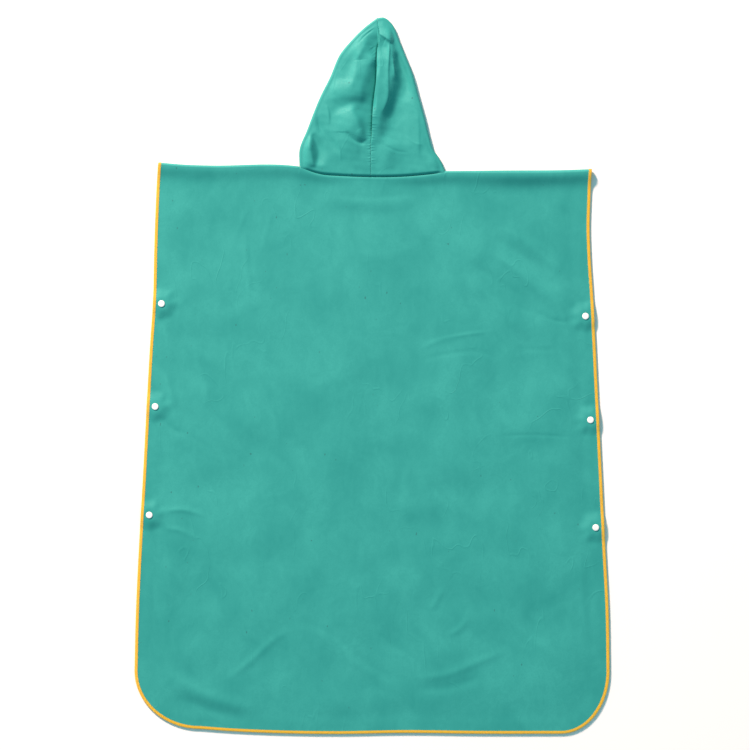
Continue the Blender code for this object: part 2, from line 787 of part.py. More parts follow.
def hood_roll(turn_line, outward, angles):
    """Roll down the side of a half, between its two layers."""
    columns = []
    for angle in angles:
        plan = turn_line + ROLL * np.sin(angle) * outward
        height = np.full(len(plan), ROLL * (1 + np.cos(angle)))
        columns.append(np.column_stack([plan, height]))
    return np.stack(columns, axis=1)


def hood_lower(side, seam, turn_line, front):
    """Lower layer of a half, on the surface: from the roll in to the edge of the opening for
    the face, and above that opening to the centre seam."""
    face = smooth_path(FACE_EDGE[side] + (Point(*seam[FACE_TOP_ROW]),), even(FACE_TOP_ROW))
    inner = np.vstack([face, seam[FACE_TOP_ROW + 1 :]])
    crown = resample(np.vstack([turn_line[-1], seam[-1]]), even(len(front) - 1))
    plan = patch(turn_line, inner, front[:, :2], crown)
    return np.dstack([plan, np.zeros(plan.shape[:2])])


def hood_half(name, side, material):
    """One half of the hood: from the centre seam over the side and under to the face opening."""
    seam, crown_heading = seam_path()
    turn_line, outward = fold_line(side, crown_heading)
    points, neck_normals, across = hood_neck(side)
    columns = 2 * NECK_STEPS + 1
    angles = np.pi * even(TURN_STEPS)[1:-1]
    upper = hood_upper(seam, turn_line, points[:columns])
    roll = hood_roll(turn_line, outward, angles)
    lower = hood_lower(side, seam, turn_line, points[-NECK_STEPS - 1 :])
    grid = np.concatenate([upper, roll, lower], axis=1)
    grid[0] = points
    normals = grid_normals(grid, 1)
    turned = np.concatenate([np.zeros(columns), angles, np.full(NECK_STEPS + 1, np.pi)])
    crown_out = np.append(crown_heading, 0)
    normals[-1] = np.sin(turned)[:, None] * crown_out + np.cos(turned)[:, None] * (0, 0, 1)
    normals[0] = neck_normals
    grid[0] += across * SEAM_GAP / 2
    sew_centre(grid, normals, seam, side)
    return wall(name, grid, normals, material)


def sew_centre(grid, normals, seam, side):
    """Moves the half off the centre seam by half the gap: up the back, over the crown, and
    down under it to the top of the face opening."""
    heading = unit(np.gradient(seam, axis=0))
    across = side * np.column_stack([heading[:, 1], -heading[:, 0], np.zeros(len(seam))])
    for column, rows in ((0, slice(None)), (-1, slice(FACE_TOP_ROW, None)), (-1, slice(0, 1))):
        grid[rows, column] += across[rows] * SEAM_GAP / 2
        normals[rows, column] = level(normals[rows, column], across[rows])
    grid[-1, 1:-1] += across[-1] * SEAM_GAP / 2
    normals[-1] = level(normals[-1], across[-1])


# Snaps --------------------------------------------------------------------------------------


def turned(name, profile, material):
    """Mesh of a round piece from its profile, with a flat base and a flat top."""
    angles = np.linspace(0, 2 * np.pi, ROUND_SIDES, endpoint=False)
    ring = np.column_stack([np.cos(angles), np.sin(angles)])
    levels = [np.column_stack([ring * p.radius, np.full(ROUND_SIDES, p.height)]) for p in profile]
    points = np.vstack(levels)
    index = np.arange(len(points)).reshape(len(profile), ROUND_SIDES)
    after = np.roll(index, -1, axis=1)
    four = [index[:-1], after[:-1], after[1:], index[1:]]
    quads = np.stack(four, axis=-1).reshape(-1, 4).tolist()
    ends = [index[0, ::-1].tolist(), index[-1].tolist()]
    mesh = bpy.data.meshes.new(name)
    mesh.from_pydata((points * MM).tolist(), [], quads + ends)
    mesh.materials.append(material)
    mesh.shade_smooth()
    mesh.set_sharp_from_angle(angle=math.radians(40))
    return mesh


def snaps(material):
    """Each fastened snap: a cap on either side and the socket and stud between the layers."""
    cap = turned("snap_cap", CAP_PROFILE, material)
    socket = turned("snap_socket", SOCKET_PROFILE, material)
    for snap, (across, up) in zip(SNAPS, snap_places()):
        name = f"snap_{snap.side}_{snap.number}"
        place(name + "_back_cap", cap, (across, up, BACK_CAP_BASE))
        place(name + "_socket", socket, (across, up, SOCKET_BASE))
        front = place(name + "_front_cap", cap, (across, up, CAP_HEIGHT))
        front.rotation_euler.x = math.pi


# Materials and assembly ---------------------------------------------------------------------


def finish(name, colour, roughness, sheen):
    material = bpy.data.materials.new(name)
    material.use_nodes = True
    shader = material.node_tree.nodes["Principled BSDF"]
    shader.inputs["Base Color"].default_value = (*colour, 1)
    shader.inputs["Roughness"].default_value = roughness
    shader.inputs["Metallic"].default_value = 0
    shader.inputs["Sheen Weight"].default_value = sheen
    return material


def clear_scene():
    for thing in list(bpy.data.objects):
        bpy.data.objects.remove(thing)


def main():
    clear_scene()
    origin = bpy.data.objects.new("shoulder_line", None)
    bpy.context.scene.collection.objects.link(origin)
    origin.location.y = (BODY_LENGTH - HOOD_LENGTH) / 2 * MM
    suede = finish("teal_micro_suede", (0.05, 0.41, 0.36), 0.85, 0.5)
    thread = finish("orange_thread", (0.86, 0.44, 0.02), 0.7, 0.2)
    plastic = finish("white_plastic", (0.9, 0.9, 0.88), 0.3, 0.0)
    for word, face, steps, height in (
        ("back", 1, BACK_STEPS, back_height),
        ("front", -1, FRONT_STEPS, front_height),
    ):
        grid, normals = panel_grid(face, steps, height)
        wall(word + "_panel", grid, normals, suede)
        edging(word + "_edging", grid, normals, face, thread)
    hood_half("hood_left", -1, suede)
    hood_half("hood_right", 1, suede)
    snaps(plastic)


main()
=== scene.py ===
"""Looks of a surf poncho of thin micro-suede, laid flat on its front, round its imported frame.

Sizes and tables are in millimetres on the garment as it lies: "across" is measured from its
centre line to the right, "up" from the line of the shoulders towards the hood, "down" from
that line towards the hem, and heights from the surface. Meshes are made in metres in the
frame, whose origin is on the surface in the middle of the outline.
"""

import math
from collections import namedtuple

import bpy
import numpy as np
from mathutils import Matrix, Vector
from mathutils.kdtree import KDTree


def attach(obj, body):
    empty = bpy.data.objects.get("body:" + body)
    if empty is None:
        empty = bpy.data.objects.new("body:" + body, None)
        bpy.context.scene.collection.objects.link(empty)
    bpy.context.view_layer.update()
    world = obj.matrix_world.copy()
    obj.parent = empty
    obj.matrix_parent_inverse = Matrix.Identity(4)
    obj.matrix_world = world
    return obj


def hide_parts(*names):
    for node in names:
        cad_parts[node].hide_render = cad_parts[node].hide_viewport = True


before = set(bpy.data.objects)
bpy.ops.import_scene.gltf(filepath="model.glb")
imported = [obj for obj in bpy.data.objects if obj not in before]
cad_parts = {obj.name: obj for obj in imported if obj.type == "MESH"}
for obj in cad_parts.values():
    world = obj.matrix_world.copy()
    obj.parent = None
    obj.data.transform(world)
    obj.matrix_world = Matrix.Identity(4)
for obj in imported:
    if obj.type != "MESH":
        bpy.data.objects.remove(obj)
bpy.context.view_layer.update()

MM = 0.001

# The whole garment as it lies.
BODY_LENGTH = 1052.5
HOOD_LENGTH = 277.0
SHOULDER_LINE = (BODY_LENGTH - HOOD_LENGTH) / 2

# Cloth and seams.
WALL = 1.2
SEAM_GAP = 0.3
EDGING_WIDTH = 5.0
EDGING_EXTRA = 0.6
EDGING_ROUND = 1.1
CLOTH_INSET = EDGING_WIDTH + SEAM_GAP

# Height of the back's upper side where it lies on the front, how far it stands off the front
# towards the middle, and at least. Near the edge it is lifted to the level of the edging.
BACK_REST = 2 * WALL + SEAM_GAP
BODY_LOFT = 1.4
LEAST_LOFT = 0.1
BODY_LOFT_REACH = 60.0
EDGE_LIFT_FROM = 12.0
EDGE_LIFT_TO = 32.0

# Outside radius of the soft rolls down the sides of the hood and at the ends of the neck, and
# the cloth that runs level into the turn beside the neck.
ROLL = 4.2
TURN_LEAD = 3.0

# Side edges: how far each lies from the centre line, at places down from the shoulder.
Side = namedtuple("Side", "down left right")
SIDES = (
    Side(-12, 396.5, 409),
    Side(20, 399, 407),
    Side(60, 401, 405.5),
    Side(110, 403, 404),
    Side(160, 404.5, 405.5),
    Side(247, 406.5, 411),
    Side(328, 412, 415),
    Side(453, 419, 421),
    Side(577, 425.5, 427),
    Side(700, 432.5, 433),
    Side(830, 438.5, 439.5),
    Side(935, 441, 441),
)

# Bottom corners: quarter ellipses below the end of each side.
Corner = namedtuple("Corner", "width depth")
LEFT_CORNER = Corner(122, 108)
RIGHT_CORNER = Corner(90, 117)

# Hem between the corners.
Hem = namedtuple("Hem", "across down")
HEM = (
    Hem(-319, 1043),
    Hem(-265, 1047),
    Hem(-202, 1050),
    Hem(-69, 1052.5),
    Hem(65, 1050.5),
    Hem(197, 1052),
    Hem(351, 1052),
)

# Shoulder edge outside the neck, and the distance at which its outer ends are read.
Shoulder = namedtuple("Shoulder", "across up")
SHOULDER = (
    Shoulder(-410, 9),
    Shoulder(-392, 8),
    Shoulder(-347, 4.5),
    Shoulder(-302, 3),
    Shoulder(-150, 3),
    Shoulder(-134.6, 1.3),
    Shoulder(135.6, -7.2),
    Shoulder(237, -6.5),
    Shoulder(377, -5),
    Shoulder(412, -3.5),
)
SHOULDER_END = 400.0

# Height of the soft roll along the shoulder and of the seam across the back of the neck, and
# how far down the back the roll falls away.
Loft = namedtuple("Loft", "across height fall")
SHOULDER_LOFT = (
    Loft(-412, 9.0, 17),
    Loft(-270, 9.8, 18),
    Loft(-134.6, 2 * ROLL, 13),
    Loft(-60, 6.4, 11),
    Loft(0, 5.8, 10),
    Loft(60, 6.6, 11),
    Loft(135.6, 2 * ROLL, 15),
    Loft(260, 13.0, 18),
    Loft(412, 11.2, 18),
)

# Neck: its outermost points, the way that the cloth turns there, and its two edges from the
# middle of the garment outwards.
Point = namedtuple("Point", "across up")
Neck = namedtuple("Neck", "corner outward back front")
NECK = {
    -1: Neck(
        Point(-134.6, 1.3),
        Point(-0.8, 0.6),
        (Point(-2, -18), Point(-30, -17.2), Point(-62, -15.6), Point(-96, -12.6), Point(-119, -6)),
        (Point(0, -75), Point(-45, -70), Point(-85, -54), Point(-118, -24)),
    ),
    1: Neck(
        Point(135.6, -7.2),
        Point(0.8, 0.6),
        (Point(-2, -18), Point(28, -18), Point(55, -17.2), Point(83, -15.2), Point(113, -12.2)),
        (Point(0, -75), Point(45, -71), Point(85, -57), Point(118, -30)),
    ),
}

# Hood outline from the neck to the crown, on each side.
HOOD_OUTLINE = {
    -1: (
        Point(-134.5, 32),
        Point(-121, 67),
        Point(-96, 130),
        Point(-78, 166),
        Point(-58, 211),
        Point(-37, 236),
        Point(-17, 256),
    ),
    1: (
        Point(126, 15),
        Point(114, 32),
        Point(106, 58),
        Point(97, 95),
        Point(86, 134),
        Point(75, 174),
        Point(63, 204),
        Point(50, 236),
        Point(36, 267),
        Point(22, 277.5),
    ),
}
CROWN = Point(9, 276.5)

# Centre seam up the back of the hood.
HOOD_SEAM = (
    Point(-2, -18),
    Point(-2, 18),
    Point(-2, 49),
    Point(1, 75),
    Point(3, 112),
    Point(9, 161),
    Point(10.5, 213),
    Point(13, 248),
    Point(11.5, 266),
)

# Edge of the opening for the face, in the hood's lower layer, from the front of the neck up.
FACE_EDGE = {
    -1: (Point(0, -75), Point(-28, -34), Point(-45, 20), Point(-44, 80), Point(-27, 135)),
    1: (Point(0, -75), Point(28, -36), Point(47, 18), Point(49, 80), Point(36, 135)),
}

# Loft of the hood over its rolled sides and the low dome on top of it, how far in from the
# sides each is reached, and how far up from the neck seam. Folds start a little way in from
# both.
HOOD_LOFT = 1.2
HOOD_EDGE_FALL = 7.0
HOOD_DOME = 4.0
HOOD_DOME_FALL = 55.0
HOOD_NECK_FALL = 50.0
FOLDS_FROM_EDGE = 7.0
FOLDS_FROM_NECK = 7.0

# Level end of the hood before it turns under at the crown, and how firmly and how soon the
# turn at the sides swings round to the turns at its two ends.
CROWN_FLAT = 6.0
END_SWING = 12.0
END_SHARE = 0.05

# Folds: ridges (rise above 0) and troughs (below 0) along a line. A crest gives, at one place
# on that line, the rise and how far it reaches on the left and on the right of the way the
# line runs. The powers say how the flank on each side falls: 2 is soft, below it the crest is
# sharper, above it flatter with a steeper flank. A crease keeps one rise, reach and power along
# its whole path. All die away at the ends, over a share of their length.
Crest = namedtuple("Crest", "across up rise left right")
Fold = namedtuple("Fold", "left_power right_power fade crests")
Crease = namedtuple("Crease", "rise left right path power fade", defaults=(2.0, 0.3))
HOOD_FOLDS = (
    # Narrow ridge down from the crown.
    Fold(1.8, 1.8, 0.15, (
        Crest(-5, 246, 0, 6, 6),
        Crest(-14, 226, 1.4, 7, 8),
        Crest(-28, 198, 1.8, 6, 7),
        Crest(-32, 176, 2.0, 8, 8),
        Crest(-37, 150, 0.9, 6, 7),
        Crest(-38, 134, 0, 6, 7),
    )),
    # Low ridge inside the left edge, below the step of the left half.
    Fold(1.5, 1.8, 0.2, (
        Crest(-86, 120, 0, 2, 5),
        Crest(-80, 98, 1.6, 2.4, 7),
        Crest(-80, 74, 0, 2.4, 6),
    )),
    # Diagonal trough towards the neck.
    Fold(2.0, 1.6, 0.2, (
        Crest(-108, 104, 0, 4, 4),
        Crest(-102, 88, -2.2, 5, 5),
        Crest(-96, 72, -2.8, 7, 6),
        Crest(-84, 54, -3.0, 9, 6),
        Crest(-71, 36, -2.2, 9, 6),
        Crest(-60, 20, 0, 8, 6),
    )),
    # Crisp flap at the lower left, which drops steeply into a wedge-shaped hollow.
    Fold(1.6, 2.0, 0.12, (
        Crest(-124, 76, 0, 3, 8),
        Crest(-121, 62, 3.4, 6, 11),
        Crest(-118, 48, 5.2, 8, 14),
        Crest(-114, 28, 5.0, 7, 16),
        Crest(-110, 8, 3.6, 5, 16),
        Crest(-107, -6, 0, 4, 14),
    )),
    Fold(2.0, 1.6, 0.15, (
        Crest(-114, 66, 0, 4, 3),
        Crest(-106, 50, -3.6, 9, 5),
        Crest(-99, 33, -4.4, 13, 9),
        Crest(-100, 14, -3.6, 12, 7),
        Crest(-101, -2, 0, 10, 5),
    )),
    # Doubled lines pressed along the upper left edge.
    Crease(1.4, 1.7, 1.7, ((9, 262), (-16, 246), (-42, 220)), 1.5),
    Crease(1.1, 1.5, 1.5, ((8, 269), (-12, 256), (-30, 239)), 1.5),
    Crease(-0.9, 1.6, 1.6, ((6, 258), (-14, 242), (-30, 224)), 1.5),
    # Faint creases over both halves.
    Crease(0.7, 2, 3, ((-62, 190), (-70, 160), (-74, 140)), 1.5),
    Crease(0.6, 2, 2, ((-70, 60), (-60, 34), (-58, 6)), 1.5),
    Crease(0.6, 2, 3, ((60, 60), (80, 44), (98, 40)), 1.5),
    Crease(-0.7, 3, 3, ((20, 42), (44, 30), (70, 26)), 1.6),
    # Low ridges towards the right-hand edge and the neck.
    Crease(0.8, 2.8, 8, ((84, 118), (86, 84), (87, 50), (86, 10)), 1.7),
    Fold(2.0, 2.0, 0.2, (
        Crest(24, 50, 0, 14, 12),
        Crest(27, 28, 1.6, 14, 12),
        Crest(28, 8, 1.6, 14, 12),
        Crest(28, -10, 0, 12, 12),
    )),
    Fold(1.5, 2.0, 0.2, (
        Crest(104, 46, 0, 3, 6),
        Crest(114, 26, 2.8, 4, 10),
        Crest(124, 8, 3.0, 4, 12),
        Crest(131, -8, 0, 3, 9),
    )),
)
# Dip along the centre seam: broad on the left half, and hardly wider than the seam itself on
# the right half.
SEAM_FOLDS = (
    Fold(1.0, 1.6, 0.12, (
        Crest(8, 262, 0, 0.8, 12),
        Crest(10, 246, -2.0, 0.8, 15),
        Crest(11, 230, -4.8, 0.8, 19),
        Crest(12, 212, -4.8, 0.8, 16),
        Crest(12, 198, -3.4, 0.8, 8),
        Crest(12, 184, -5.0, 0.8, 15),
        Crest(9, 160, -6.4, 0.8, 17),
        Crest(7, 138, -6.4, 0.8, 19),
        Crest(6, 116, -5.4, 0.8, 18),
        Crest(2, 90, -3.6, 0.8, 14),
        Crest(1, 66, -2.4, 0.8, 10),
        Crest(0, 40, 0, 0.8, 8),
    )),
)
# Folds of one half only. The left half stands higher and falls to the centre seam. The right
# half lies over the seam in a pleat and falls away from it into a crescent hollow.
HALF_FOLDS = {
    -1: (
        # High part above, which falls steeply to the seam and ends in a step towards the neck.
        Fold(2.4, 3.0, 0.12, (
            Crest(-6, 262, 0, 12, 20),
            Crest(-13, 240, 2.2, 17, 20),
            Crest(-19, 224, 3.6, 18, 18),
            Crest(-15, 211, 3.8, 17, 18),
            Crest(-4, 199, 3.8, 10, 26),
            Crest(-10, 189, 4.2, 16, 22),
            Crest(-18, 176, 5.0, 18, 17),
            Crest(-21, 156, 4.4, 18, 24),
            Crest(-25, 140, 4.8, 20, 38),
            Crest(-29, 114, 0, 20, 36),
        )),
        # Narrow pointed left end of that step.
        Fold(4.0, 2.2, 0.2, (
            Crest(-84, 130, 0, 20, 6),
            Crest(-72, 130, 1.8, 24, 8),
            Crest(-52, 131, 3.6, 34, 15),
            Crest(-32, 131, 3.0, 34, 17),
            Crest(-6, 130, 0, 24, 16),
        )),
        # Lower part: its flat ridge falls to the seam as well.
        Fold(2.6, 2.4, 0.15, (
            Crest(-48, 120, 0, 13, 20),
            Crest(-41, 102, 6.0, 12, 24),
            Crest(-33, 82, 7.6, 14, 26),
            Crest(-29, 64, 6.6, 13, 25),
            Crest(-33, 46, 3.0, 12, 24),
            Crest(-34, 24, 1.2, 12, 22),
            Crest(-36, 0, 0, 12, 20),
        )),
        # Pulls towards the seam, and the low ridge between them.
        Fold(1.8, 1.8, 0.2, (
            Crest(-25, 72, 0, 5, 6),
            Crest(-19, 62, 1.6, 6, 7),
            Crest(-16, 54, 2.0, 6, 7),
            Crest(-12, 46, 0, 5, 6),
        )),
        Fold(1.6, 1.8, 0.2, (
            Crest(-50, 70, 0, 4, 3),
            Crest(-42, 58, -1.4, 6, 3.5),
            Crest(-32, 49, -2.2, 7, 3.5),
            Crest(-20, 44, -2.0, 6, 3.5),
            Crest(-8, 42, 0, 4, 3),
        )),
    ),
    1: (
        # Pleat, from the crown down, and the crisp lip along its far edge.
        Fold(2.2, 8.0, 0.08, (
            Crest(30, 264, 0, 8, 40),
            Crest(33, 240, 3.0, 7, 42),
            Crest(35, 217, 5.0, 8, 44),
            Crest(37, 198, 5.6, 11, 44),
            Crest(37, 180, 5.8, 13, 44),
            Crest(31, 152, 6.2, 15, 44),
            Crest(28, 139, 6.2, 15, 44),
            Crest(25, 124, 6.0, 13, 44),
            Crest(21, 111, 6.0, 13, 44),
            Crest(13, 96, 5.6, 15, 44),
            Crest(10, 78, 4.8, 17, 44),
            Crest(5, 56, 2.6, 13, 44),
            Crest(3, 34, 0, 14, 44),
        )),
        Fold(1.6, 1.8, 0.15, (
            Crest(32, 238, 0, 1.6, 3),
            Crest(32, 218, 2.0, 1.8, 4),
            Crest(31, 196, 1.6, 1.8, 4),
            Crest(30, 178, 1.4, 2, 5),
            Crest(30, 150, 1.4, 2.4, 6),
            Crest(29, 124, 1.4, 3, 6),
            Crest(22, 108, 1.0, 3, 6),
            Crest(14, 94, 0, 3, 5),
        )),
        # Crescent hollow beside it: its crease swings out and back to the seam.
        Fold(1.7, 2.4, 0.1, (
            Crest(42, 222, 0, 5, 8),
            Crest(46, 211, -3.6, 7, 9),
            Crest(53, 198, -6.6, 8, 15),
            Crest(60, 181, -7.6, 9, 18),
            Crest(64, 152, -7.8, 13, 24),
            Crest(60, 139, -7.4, 20, 23),
            Crest(51, 124, -6.8, 30, 19),
            Crest(45, 108, -6.8, 36, 20),
            Crest(41, 96, -6.8, 38, 21),
            Crest(36, 78, -6.0, 38, 21),
            Crest(28, 60, -3.4, 34, 19),
            Crest(20, 40, 0, 30, 14),
        )),
        # Small rib inside the hollow.
        Fold(1.5, 1.5, 0.2, (
            Crest(38, 206, 0, 2, 2),
            Crest(40, 190, 1.8, 2.4, 3),
            Crest(42, 174, 1.6, 2.4, 3),
            Crest(42, 158, 0, 2, 2),
        )),
        # Bright upper end of the pleat, and the notch below it.
        Fold(2.0, 1.6, 0.1, (
            Crest(4, 250, 0, 18, 3),
            Crest(13, 247, 2.4, 20, 3),
            Crest(22, 242, 4.2, 20, 3),
            Crest(31, 235, 4.8, 18, 3),
            Crest(38, 228, 0, 12, 3),
        )),
        Fold(1.6, 2.0, 0.15, (
            Crest(8, 238, 0, 6, 10),
            Crest(13, 228, -3.4, 11, 17),
            Crest(19, 222, -4.2, 12, 20),
            Crest(26, 221, -2.4, 9, 17),
            Crest(33, 222, 0, 6, 12),
        )),
    ),
}
# Distance from the seam over which the folds of a half begin.
HALF_FOLD_START = {-1: 3.0, 1: 1.6}

# Overhang of the pleat over the seam: how far, at what distance from the seam, over what
# width, from how near it, between which levels, and over what lengths it begins and ends.
OVERHANG = 3.1
OVERHANG_AT = 1.9
OVERHANG_WIDTH = 1.1
OVERHANG_START = 0.8
OVERHANG_FROM = 50.0
OVERHANG_TO = 236.0
OVERHANG_BEGINS = 30.0
OVERHANG_ENDS = 20.0

# Creases pressed into the back of the body.
BODY_FOLDS = (
    # Ridge and long trough across the lower left corner, with creases above them.
    Crease(2.8, 14, 17, ((-398, -916), (-352, -958), (-282, -992), (-200, -1016)), 1.8),
    Crease(-2.0, 11, 9, ((-364, -980), (-310, -1006), (-258, -1024), (-190, -1036)), 1.7),
    Crease(1.2, 6, 6, ((-290, -962), (-236, -926), (-180, -876), (-140, -852)), 1.5, 0.4),
    Crease(-0.9, 8, 8, ((-150, -834), (-88, -862), (-10, -922), (64, -962)), 2.0, 0.4),
    Crease(0.9, 8, 8, ((-132, -846), (-70, -880), (0, -944), (60, -976)), 1.7, 0.4),
    # Two narrow creases down the left edge.
    Crease(0.9, 3, 5, ((-422, -760), (-412, -850), (-388, -920)), 1.5),
    Crease(-0.8, 3, 3, ((-410, -740), (-400, -838), (-376, -905)), 1.5),
    # Ridges inside the left edge, round the two upper snaps.
    Crease(1.5, 7, 8, ((-386, -270), (-380, -318), (-368, -368)), 1.6),
    Crease(3.2, 6, 13, ((-388, -372), (-376, -412), (-362, -452)), 1.7, 0.35),
    Crease(0.8, 4, 4, ((-330, -322), (-318, -372), (-298, -440)), 1.5),
    Crease(-1.2, 6, 6, ((-392, -464), (-366, -488), (-340, -500)), 1.6, 0.4),
    Crease(-0.9, 3, 3, ((-342, -494), (-318, -512), (-300, -536)), 1.5, 0.4),
    # Pulls from the lowest snap on the left, and the hollow under it.
    Crease(1.2, 5, 5, ((-402, -642), (-352, -636), (-300, -652)), 1.6, 0.4),
    Crease(1.0, 5, 5, ((-398, -668), (-352, -676), (-316, -700)), 1.6, 0.4),
    Crease(-1.2, 12, 12, ((-404, -668), (-392, -712), (-372, -748)), 2.0, 0.4),
    # Diagonal creases below the right shoulder.
    Crease(2.0, 10, 11, ((234, -104), (300, -152), (372, -212)), 1.6),
    Crease(-2.0, 9, 8, ((222, -122), (290, -176), (362, -238)), 1.7),
    Crease(2.2, 9, 11, ((206, -146), (276, -200), (352, -268)), 1.5),
    Crease(-1.8, 9, 8, ((176, -168), (246, -226), (320, -292)), 1.7),
    Crease(1.9, 9, 10, ((166, -196), (232, -256), (296, -326)), 1.5),
    Crease(0.9, 3, 4, ((286, -128), (330, -158), (366, -196)), 1.4),
    Crease(0.8, 3, 3, ((250, -92), (268, -124), (276, -150)), 1.4),
    Crease(0.8, 3, 3, ((330, -232), (352, -262), (362, -300)), 1.4),
    Crease(-0.7, 3, 3, ((296, -262), (330, -282), (372, -290)), 1.4),
    Crease(-1.3, 14, 12, ((150, -178), (184, -250), (222, -322), (262, -392)), 2.0, 0.35),
    Crease(1.1, 7, 8, ((352, -352), (372, -396), (386, -432)), 1.6, 0.35),
    Crease(-1.2, 8, 8, ((336, -68), (372, -98), (398, -130)), 2.0, 0.4),
    # Faint arcs pressed across the middle.
    Crease(0.7, 2.4, 3.0, ((76, -346), (124, -322), (180, -310), (236, -304)), 1.4),
    Crease(-0.6, 2.6, 2.6, ((82, -360), (146, -346), (206, -344), (252, -366)), 1.4),
    Crease(-0.5, 2.4, 2.4, ((262, -334), (308, -340), (352, -336)), 1.4),
    Crease(-0.5, 2.4, 2.4, ((226, -500), (300, -497), (384, -503)), 1.4),
    Crease(0.6, 8, 8, ((184, -420), (196, -468), (206, -528))),
    Crease(0.7, 9, 9, ((88, -556), (100, -600), (116, -662))),
    Crease(-0.6, 9, 9, ((58, -530), (52, -588), (50, -640))),
    # Small creases and a ridge above the hem on the right.
    Crease(1.0, 5, 5, ((104, -828), (122, -802), (136, -772)), 1.6, 0.4),
    Crease(1.0, 5, 5, ((132, -872), (162, -858), (184, -826)), 1.6, 0.4),
    Crease(1.2, 8, 7, ((62, -946), (130, -944), (204, -916), (262, -892)), 1.7),
    Crease(-1.0, 9, 9, ((70, -968), (140, -966), (210, -944))),
    # Right-hand edge.
    Crease(-1.0, 8, 8, ((398, -560), (404, -640), (406, -710))),
    Crease(0.9, 5, 6, ((388, -720), (392, -800), (398, -880)), 1.6),
    # Lines pressed down the upper left.
    Crease(0.9, 3, 5, ((-236, -100), (-232, -168), (-226, -250)), 1.5, 0.35),
    Crease(0.5, 4, 4, ((-222, -62), (-246, -110), (-262, -160)), 1.5, 0.35),
    Crease(0.5, 4, 4, ((-178, -70), (-196, -120), (-206, -170)), 1.5, 0.35),
    Crease(-0.5, 12, 12, ((-200, -300), (-212, -352), (-206, -400)), 2.0, 0.4),
    # Edge of the layers beneath that shows across the back below the neck.
    Crease(0.8, 7, 14, ((-100, -58), (0, -66), (106, -56)), 2.0, 0.35),
    Crease(-0.7, 10, 26, ((-100, -78), (0, -88), (106, -80)), 2.0, 0.35),
)
FOLD_SAMPLES = 60

# Random unevenness of the cloth: how high its waves rise, about how long they are, and the seed
# that they are drawn from. A row stands for several waves, whose lengths differ within a range.
Waves = namedtuple("Waves", "rise length seed")
BODY_WAVES = (Waves(0.9, 190, 3), Waves(0.25, 62, 4))
HOOD_WAVES = (Waves(0.3, 46, 7), Waves(0.1, 17, 8))
WAVES_IN_ROW = 9
LEAST_STRETCH, MOST_STRETCH = 0.7, 1.5

# Neck seam: the hood's cloth rolls down into it over a short way, the back's edge rises
# slightly beside it, and both sink into the valley at the seam itself, which fades towards the
# ends of the neck: over a length on the body, over a number of columns on the hood.
SEAM_ROLL_RISE = 2.8
SEAM_ROLL_WIDTH = 2.6
WELT_RISE = 0.3
WELT_AT = 4.0
WELT_WIDTH = 2.0
VALLEY_DEPTH = 1.3
VALLEY_WIDTH = 1.2
NECK_FADE = 30.0
VALLEY_END_COLUMNS = 12

# Valley at the hood's centre seam: its depth and its width on each side. Under the pleat it is
# a deeper crevice. Both start at a distance from the hood's edge.
CENTRE_VALLEY = {-1: (0.5, 1.2), 1: (0.5, 0.8)}
CREVICE_DEPTH = 2.6
CREVICE_WIDTH = {-1: 2.8, 1: 0.8}
VALLEY_FROM_EDGE = 4.0

# Puckers along the hood's centre seam and close beside it, from one level up to another, with
# the lengths over which they begin and end. They swell and fade in a slow beat, are shifted
# between the two halves, and have smaller and closer ones over them.
Ripple = namedtuple("Ripple", "rise rate shift")
PUCKER_RISE = 0.4
PUCKER_PITCH = 8.0
PUCKER_REACH = 6.0
PUCKER_START = 2.0
PUCKERS_FROM = -6.0
PUCKERS_TO = 120.0
PUCKERS_BEGIN = 18.0
PUCKERS_END = 40.0
PUCKER_SHIFT = 1.3
PUCKER_BEAT = Ripple(1.0, 0.31, 0.7)
SMALL_PUCKERS = Ripple(0.6, 1.7, 0.8)

# Snaps: where each pair is fastened down the sides, and the levels of its pieces.
Snap = namedtuple("Snap", "side number down")
SNAPS = (
    Snap("left", 1, 253.6),
    Snap("left", 2, 444.5),
    Snap("left", 3, 645.7),
    Snap("right", 1, 276.8),
    Snap("right", 2, 469.3),
    Snap("right", 3, 668.9),
)
SNAP_INSET = 16.4
CAP_RADIUS = 6.2
CAP_HEIGHT = 1.4
SOCKET_RADIUS = 5.0
SOCKET_HEIGHT = 2.5
FRONT_LIFT = CAP_HEIGHT + SEAM_GAP
SOCKET_BASE = FRONT_LIFT + WALL + SEAM_GAP
BACK_LIFT = SOCKET_BASE + SOCKET_HEIGHT + SEAM_GAP + WALL
BACK_CAP_BASE = BACK_LIFT + SEAM_GAP

# The cloth is level over a snap's pieces and meets its own level again further out, drawn
# into a few small creases that run out from the cap. They are turned from snap to snap, begin
# over a short way outside the cap, and fade until a little past where the cloth lies flat.
SNAP_FLAT = 9.0
SNAP_REACH = 32.0
SNAP_CREASE_RISE = 0.45
SNAP_CREASES = (Ripple(1.0, 7, 0), Ripple(0.6, 4, 1))
SNAP_CREASE_TURN = 1.7
SNAP_CREASE_BEGINS = 5.0
SNAP_CREASE_PAST = 8.0
SNAP_CREASE_FADE = 20.0

